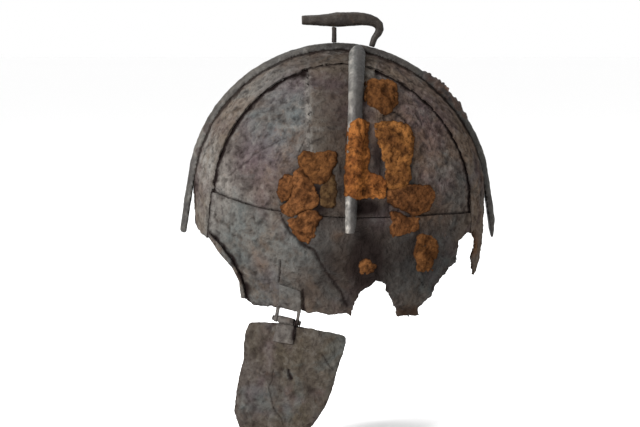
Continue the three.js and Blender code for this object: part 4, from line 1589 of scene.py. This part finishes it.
        def distance(flat: Array) -> Array:
            """The distance to the band's edge.

            Args:
                flat: Places of the side view.

            Returns:
                The distances, negative inside.
            """
            seam = self.beside_long_band(flat, 0.0, self.plan.seam * MM)
            foot = self.plan.brow_height(flat[:, 0]) + self.plan.seam * MM - flat[:, 1]
            shape = outline_distance(flat, outline) + self.ragged(flat, 8, self.band_raggedness)
            return np.maximum(np.maximum(seam, foot), shape)

        shift = self.band_shift + self.side.value
        self.plate(f"side_band_{self.word}", self.band_box, distance, "band_iron", shift)

    def infill(self, end: End) -> None:
        """Builds one of the plates behind the bands.

        Args:
            end: Whether it is at the face or the nape.
        """
        reach = self.plan.side_front[0][1] if end is End.FACE else self.plan.side_rear[-1][1]
        inner = reach * MM - end.value * self.lap
        meeting = sum(row[0][1] for row in (self.plan.side_front, self.plan.side_rear)) / 2 * MM

        def distance(flat: Array) -> Array:
            """The distance to the plate's edge.

            Args:
                flat: Places of the side view.

            Returns:
                The distances, negative inside.
            """
            places = self.dome.side_view(flat, self.side, self.infill_offset)
            middle = self.plan.half_width * MM - self.lap - self.tuck - np.abs(places[:, 1])
            low = self.plan.brow_height(flat[:, 0]) - flat[:, 1]
            side = end.value * (inner - flat[:, 0])
            tongue = np.maximum(end.value * (meeting - flat[:, 0]), -low - self.tongue)
            shape = np.maximum(np.maximum(middle, low - self.lap), np.minimum(side, tongue))
            seam = np.abs(self.beside_long_band(flat, self.infill_offset, 0.0)) - self.strip / 2
            return np.minimum(shape, np.maximum(seam, self.strip_foot - flat[:, 1]))

        front, rear = sorted((meeting, end.value * self.infill_reach))
        box = ((front, self.infill_levels[0]), (rear, self.infill_levels[1]))
        shift = self.infill_shift + 5 * self.side.value + end.value
        place = "front" if end is End.FACE else "rear"
        self.plate(f"infill_{place}_{self.word}", box, distance, "plate_iron", shift, tuck=True)

    def build(self) -> None:
        """Builds and declares all the side's plates."""
        self.brow_plate()
        self.side_band()
        for end in End:
            self.infill(end)


@dataclass(frozen=True)
class Lump:
    """A rust lump on a casting, placed in the side view in millimetres."""

    x: float
    z: float
    radius: float
    height: float
    rust: float = 0.42
    grain_size: float = 3 * MM
    dark: float = 1.15

    def swell(self, places: Array, height: Array, tones: Tones) -> None:
        """Raises the lump and gives it its tones.

        Args:
            places: The casting's places.
            height: How far each stands proud, which is changed.
            tones: The tones, which are changed.
        """
        away = np.hypot(*(places[:, [0, 2]] / MM - (self.x, self.z)).T) / self.radius
        swell = unit(1 - away**2)
        height += swell * self.height * MM * (0.7 + 0.6 * fractal(places, self.grain_size, 2, 5))
        cover = unit(swell * 3)
        raise_tone(tones, Tone.RUST, self.rust * cover)
        tones[Tone.DARK] += (self.dark * (1 - self.rust) - tones[Tone.DARK]) * cover


@dataclass(frozen=True)
class Casting:
    """A solid iron piece: a finely remeshed copy of its CAD node, corroded."""

    node: str
    body: str
    slot: str
    material: bpy.types.Material
    relief: Relief
    voxel: float = 0.7 * MM
    smoothing: int = 3
    lumps: tuple[Lump, ...] = ()
    lit_face: float = 0.0
    merge: float = 1e-5
    near_turn: float = 0.2
    hollow_dark: float = 0.5
    high_pale: float = 0.35
    # The painted shade on the face away from the light, and the painted highlight on the lit face, brightest
    # near the foot.
    back_dark: float = 0.78
    foot_height: float = 8 * MM
    foot_range: Row = (0.45, 1.0)
    bright_slope: float = -2.6
    bright_start: float = -0.3
    dark_slope: float = 3.0
    dark_start: float = 1.0

    def remeshed(self, frame: dict) -> bmesh.types.BMesh:
        """A copy of the node with small even faces.

        Args:
            frame: The loaded frame.

        Returns:
            The mesh.
        """
        bm = bmesh.new()
        bm.from_mesh(frame["nodes"][self.node].data)
        bmesh.ops.remove_doubles(bm, verts=bm.verts, dist=self.merge)
        draft = add_mesh("draft", bm, self.material)
        grain = draft.modifiers.new("grain", "REMESH")
        grain.mode = "VOXEL"
        grain.voxel_size = self.voxel
        ready = draft.evaluated_get(bpy.context.evaluated_depsgraph_get())
        mesh = bpy.data.meshes.new_from_object(ready)
        bm = bmesh.new()
        bm.from_mesh(mesh)
        for spare in (draft.data, mesh):
            bpy.data.meshes.remove(spare)
        axes = {"use_axis_x": True, "use_axis_y": True, "use_axis_z": True}
        for _ in range(self.smoothing):
            bmesh.ops.smooth_vert(bm, verts=bm.verts, factor=0.5, **axes)
        bm.normal_update()
        return bm

    def light(self, tones: Tones, ways: Array, hollow: Array, levels: Array) -> None:
        """Paints a highlight on the face that looks to the brow and the key light, and paints shade on the
        other face.

        Args:
            tones: The tones, which are changed.
            ways: The outward directions.
            hollow: How deep in a hollow each place is.
            levels: The places' heights over the origin.
        """
        # The lit face's painted highlight, strongest low down.
        worn_and_lit = unit(self.bright_slope * ways[:, 0] + self.bright_start) * unit(0.7 + 0.6 * hollow)
        low = np.clip(1.2 - levels / self.foot_height, *self.foot_range)
        raise_tone(tones, Tone.PALE, self.lit_face * worn_and_lit * low)
        tones[Tone.DARK] *= 1 - worn_and_lit
        # Painted shade on the face away from the light.
        raise_tone(tones, Tone.DARK, self.back_dark * unit(self.dark_slope * ways[:, 0] + self.dark_start))

    def build(self, frame: dict) -> None:
        """Args:
            frame: The loaded frame.
        """
        bm = self.remeshed(frame)
        places = np.array([v.co[:] for v in bm.verts])
        ways = np.array([v.normal[:] for v in bm.verts])
        flat = places[:, [0, 2]]
        near = ways[:, 1] < self.near_turn
        tones = Marks.tones(flat)
        share, depth = Marks.cracks(flat)
        uneven, hollow = self.relief.heights(places)
        height = uneven - depth * near
        # Painted shade in the hollows and painted highlights on the high places, then painted shade in the
        # near side's cracks.
        shade(tones, hollow, self.hollow_dark, self.high_pale)
        raise_tone(tones, Tone.DARK, share * near)
        if self.lit_face:
            self.light(tones, ways, hollow, flat[:, 1])
        for lump in self.lumps:
            lump.swell(places, height, tones)
        for vert, way, move in zip(bm.verts, ways, height):
            vert.co += Vector(way * move)
        keep_tones(bm, tones)
        for face in bm.faces:
            face.smooth = True
        declare(add_mesh(self.node + "_iron", bm, self.material), self.body, self.slot, self.node)


@dataclass
class IronWork:
    """What the solid iron pieces have in common."""

    frame: dict
    finishes: Finishes
    fine: Relief = Relief(
        swell=0.0, lumps=0.16 * MM, grain=0.1 * MM, flakes=0.04 * MM, pits=0.08 * MM, shift=9,
    )


@dataclass
class Ridges(IronWork):
    """The half-round ridges on the long band and the side bands."""

    relief: Relief = Relief(
        swell=0.1 * MM, lumps=0.28 * MM, grain=0.12 * MM, flakes=0.06 * MM, pits=0.12 * MM, shift=4,
    )
    long_voxel: float = 0.8 * MM
    side_voxel: float = 0.7 * MM
    near_shine: float = 1.0
    far_shine: float = 0.6
    lumps: tuple[Lump, ...] = (
        Lump(73, 95, 7, 2.6), Lump(83, 88, 9, 4.0), Lump(91, 80, 8, 3.2), Lump(97, 72, 7, 3.4),
        Lump(102, 64, 5, 1.6), Lump(86, 84, 4, 0.5, 0.9), Lump(-104, 52, 5, 1.0, 0.3),
        Lump(-111, 34, 4, 0.8, 0.3), Lump(116, -22, 4, 0.8, 0.2),
    )

    def build(self) -> None:
        where = ("helmet", "ridge_iron")
        look = (self.finishes.ridge, self.relief, self.long_voxel)
        Casting("long_ridge", *where, *look, lumps=self.lumps).build(self.frame)
        look = (self.finishes.side_ridge, self.relief, self.side_voxel)
        for side, shine in ((Side.LEFT, self.near_shine), (Side.RIGHT, self.far_shine)):
            Casting(f"side_ridge_{side.name.lower()}", *where, *look, lit_face=shine).build(self.frame)


@dataclass
class Crest(IronWork):
    """The beast-shaped bar and the post below it."""

    beast_voxel: float = 0.5 * MM
    post_voxel: float = 0.4 * MM

    def build(self) -> None:
        finish = self.finishes.crest
        Casting("crest_beast", "helmet", "crest_iron", finish, self.fine, self.beast_voxel).build(self.frame)
        Casting("crest_post", "helmet", "crest_iron", finish, self.fine, self.post_voxel, 1).build(self.frame)


@dataclass
class FaceStrips(IronWork):
    """The thin raised strips along the face opening."""

    voxel: float = 0.6 * MM
    smoothing: int = 2

    def build(self) -> None:
        """Builds and declares both strips."""
        look = (self.finishes.band, self.fine, self.voxel, self.smoothing)
        for side in Side:
            Casting(f"face_strip_{side.name.lower()}", "helmet", "band_iron", *look).build(self.frame)


@dataclass
class Hinge(IronWork):
    """The leaf on the brow plate, the pin, and the leaf that swings with the cheek guard."""

    voxel: float = 0.4 * MM
    smoothing: int = 1

    def build(self) -> None:
        leaf, pin = self.finishes.hinge, self.finishes.pin
        pieces = (("hinge_leaf", "helmet", leaf), ("hinge_pin", "helmet", pin), ("cheek_leaf", "cheek", leaf))
        for node, body, finish in pieces:
            Casting(node, body, "hinge_iron", finish, self.fine, self.voxel, self.smoothing).build(self.frame)


@dataclass
class CheekGuard(IronWork):
    """The plate that hangs below the ear."""

    relief: Relief = Relief(
        swell=0.2 * MM, lumps=0.36 * MM, grain=0.18 * MM, flakes=0.15 * MM, pits=0.25 * MM, shift=2,
    )
    voxel: float = 0.9 * MM

    def build(self) -> None:
        finish = self.finishes.cheek
        Casting("cheek_guard", "cheek", "plate_iron", finish, self.relief, self.voxel).build(self.frame)


@dataclass
class Crusts(PlateWork):
    """The patches of thick rust."""

    cell: float = 0.75 * MM
    margin: float = 3 * MM
    sunk: float = 0.7 * MM
    spread: float = 1.4 * MM
    steep: float = 1.5 * MM
    wall: float = 0.6 * MM
    ridge_height: float = 6.35
    ridge_half: float = 6.6
    step_width: float = 2.5 * MM
    twist: float = 2.2 * MM
    twist_size: float = 5 * MM
    lump_size: float = 5 * MM
    grain_size: float = 2.2 * MM
    grain_height: float = 0.45 * MM
    broken_size: float = 8 * MM
    gap_width: float = 0.14
    foot_width: float = 1.0 * MM
    raggedness_share: float = 1.2
    plain_share: float = 0.85
    lump_share: float = 0.5
    middle_share: float = 0.4
    gap_share: float = 0.45
    height_range: Row = (0.3, 1.7)
    # Painted shade in the cracks, a painted shadow round the foot, and painted shade in the hollows.
    gap_dark: float = 0.6
    foot_dark: float = 0.8
    hollow_dark: float = 0.7

    def ground(self, flat: Array) -> Array:
        """How far out the iron below a patch lies.

        Args:
            flat: Places of the side view.

        Returns:
            The offsets from the dome in metres.
        """
        x, z = flat.T
        places = self.dome.side_view(flat, Side.LEFT)
        window = self.plan.long_half(x, z) - np.abs(places[:, 1])
        window = np.maximum(window, self.plan.brow_height(x) - z)
        front, rear = self.plan.side_front[0][1] * MM, self.plan.side_rear[1][1] * MM
        window = np.maximum(window, np.minimum(x - front, rear - x))
        deep = self.infill_offset * unit(0.5 - window / self.step_width)
        off = self.plan.off_ridge(x, z) / self.ridge_half
        ridge = self.ridge_height * MM * np.sqrt(unit(1 - off**2)) * (z > self.plan.ridge_end * MM)
        return np.maximum(deep, ridge)

    def patch(self, crust: Crust) -> None:
        """Builds and declares one patch.

        Args:
            crust: The patch.
        """
        outline = np.array(crust.outline) * MM
        low, high = outline.min(0) - self.margin, outline.max(0) + self.margin
        sheet = Sheet(crust.name, tuple(low), tuple(high), self.cell)

        def distance(flat: Array) -> Array:
            """The distance to the patch's edge, negative inside."""
            ragged = self.ragged(flat, crust.shift, self.raggedness_share)
            return outline_distance(flat, outline) + ragged - self.spread

        edge = sheet.cut(distance)
        flat = sheet.flat()
        base = self.dome.side_view(flat, Side.LEFT, self.ground(flat))
        rise = 1 - np.exp(edge / self.steep)
        twist = np.column_stack([fractal(base, self.twist_size, 3, 9 * k) for k in range(3)])
        middle, crack = cells(base + self.twist * twist, crust.lump * MM, crust.shift)
        broken = unit(0.5 + 1.5 * fractal(base, self.broken_size, 2, crust.shift + 3))
        gap = unit(1 - crack / self.gap_width) * broken
        lumps = fractal(base, self.lump_size, 3, crust.shift)
        grain = fractal(base, self.grain_size, 3, crust.shift + 5)
        uneven = self.plain_share + self.lump_share * lumps + self.middle_share * (0.5 - middle)
        uneven = np.clip(uneven - self.gap_share * gap, *self.height_range)
        height = crust.height * MM * rise * uneven + self.grain_height * grain
        height -= self.sunk * (1 - 0.75 * rise)
        sheet.lay(base + self.dome.outwards(base) * height[:, None])
        # Painted shade in the cracks between the lumps and in their hollows, and a painted shadow round the
        # patch's foot.
        dark = np.maximum(self.gap_dark * gap, unit(1.1 + edge / self.foot_width) * self.foot_dark)
        dark = np.maximum(dark, self.hollow_dark * unit(-lumps - 0.7 * grain))
        keep_tones(sheet.bm, {Tone.DARK: unit(dark)})
        piece = sheet.finish(self.finishes.crusts[crust.look], self.wall, self.middle)
        declare(piece, "helmet", "plate_iron")

    def build(self) -> None:
        """Builds and declares every patch."""
        for crust in Marks.CRUSTS:
            self.patch(crust)


@dataclass(frozen=True)
class Lamp:
    """A round lamp that faces the helmet."""

    name: str
    place: Row
    size: float
    power: float

    def hang(self) -> None:
        """Adds the lamp to the scene."""
        data = bpy.data.lights.new(self.name, "AREA")
        data.shape = "DISK"
        data.size = self.size
        data.energy = self.power
        lamp = bpy.data.objects.new(self.name, data)
        lamp.location = self.place
        lamp.rotation_euler = (-Vector(self.place)).to_track_quat("-Z", "Y").to_euler()
        bpy.context.scene.collection.objects.link(lamp)


@dataclass(frozen=True)
class Studio:
    """The white room, its lamps and the camera."""

    white: Row = (1.0, 1.0, 1.0, 1.0)
    floor_colour: Row = (0.985, 0.985, 0.985, 1.0)
    floor_roughness: float = 0.9
    floor_size: float = 200.0
    floor_level: float = -0.196
    lamps: tuple[Lamp, ...] = (
        Lamp("key", (-1.15, -1.15, 0.75), 0.6, 74.0),
        Lamp("fill", (1.3, -1.3, 0.5), 1.4, 4.0),
        Lamp("top", (-0.3, 0.25, 1.5), 1.0, 16.0),
    )
    azimuth: float = -2.5
    elevation: float = 6.0
    distance: float = 1.215
    target: Row = (-15.5 * MM, 0.0, -16.5 * MM)
    lens: float = 85.0
    sensor: float = 36.0

    def surround(self) -> None:
        """Makes the white world."""
        scene = bpy.context.scene
        scene.view_settings.view_transform = "Standard"
        scene.world = bpy.data.worlds.new("studio")
        scene.world.use_nodes = True
        background = scene.world.node_tree.nodes["Background"]
        background.inputs["Color"].default_value = self.white
        background.inputs["Strength"].default_value = 1.0

    def floor(self) -> None:
        """Makes the floor."""
        bm = bmesh.new()
        bmesh.ops.create_grid(bm, x_segments=1, y_segments=1, size=self.floor_size)
        bmesh.ops.translate(bm, vec=(0, 0, self.floor_level), verts=bm.verts)
        paint = bpy.data.materials.new("floor")
        paint.use_nodes = True
        shader = paint.node_tree.nodes["Principled BSDF"]
        shader.inputs["Base Color"].default_value = self.floor_colour
        shader.inputs["Roughness"].default_value = self.floor_roughness
        add_mesh("floor", bm, paint)

    def camera(self) -> None:
        """Makes the camera that stands where the photograph was taken."""
        turn, rise = math.radians(self.azimuth), math.radians(self.elevation)
        back = Vector((math.sin(turn) * math.cos(rise), -math.cos(turn) * math.cos(rise), math.sin(rise)))
        data = bpy.data.cameras.new("camera")
        data.lens = self.lens
        data.sensor_width = self.sensor
        camera = bpy.data.objects.new("camera", data)
        camera.location = Vector(self.target) + back * self.distance
        camera.rotation_euler = back.to_track_quat("Z", "Y").to_euler()
        bpy.context.scene.collection.objects.link(camera)
        bpy.context.scene.camera = camera

    def build(self) -> None:
        """Makes the room, the floor, the lamps and the camera."""
        self.surround()
        self.floor()
        for lamp in self.lamps:
            lamp.hang()
        self.camera()


def main() -> None:
    """Builds every piece in order."""
    logging.basicConfig(level=logging.INFO, format="%(name)s: %(message)s")
    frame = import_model()
    _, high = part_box("long_band")
    dome = Dome(high.x, -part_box("brow_plate_left")[0].y, high.z)
    plan = BandPlan()
    finishes = Finishes()
    Studio().build()
    LongBand(dome, plan, finishes).build()
    for side in Side:
        SidePlates(dome, plan, finishes, side=side).build()
    for work in (Ridges, Crest, FaceStrips, Hinge, CheekGuard):
        work(frame, finishes).build()
    Crusts(dome, plan, finishes).build()


if __name__ == "__main__":
    main()
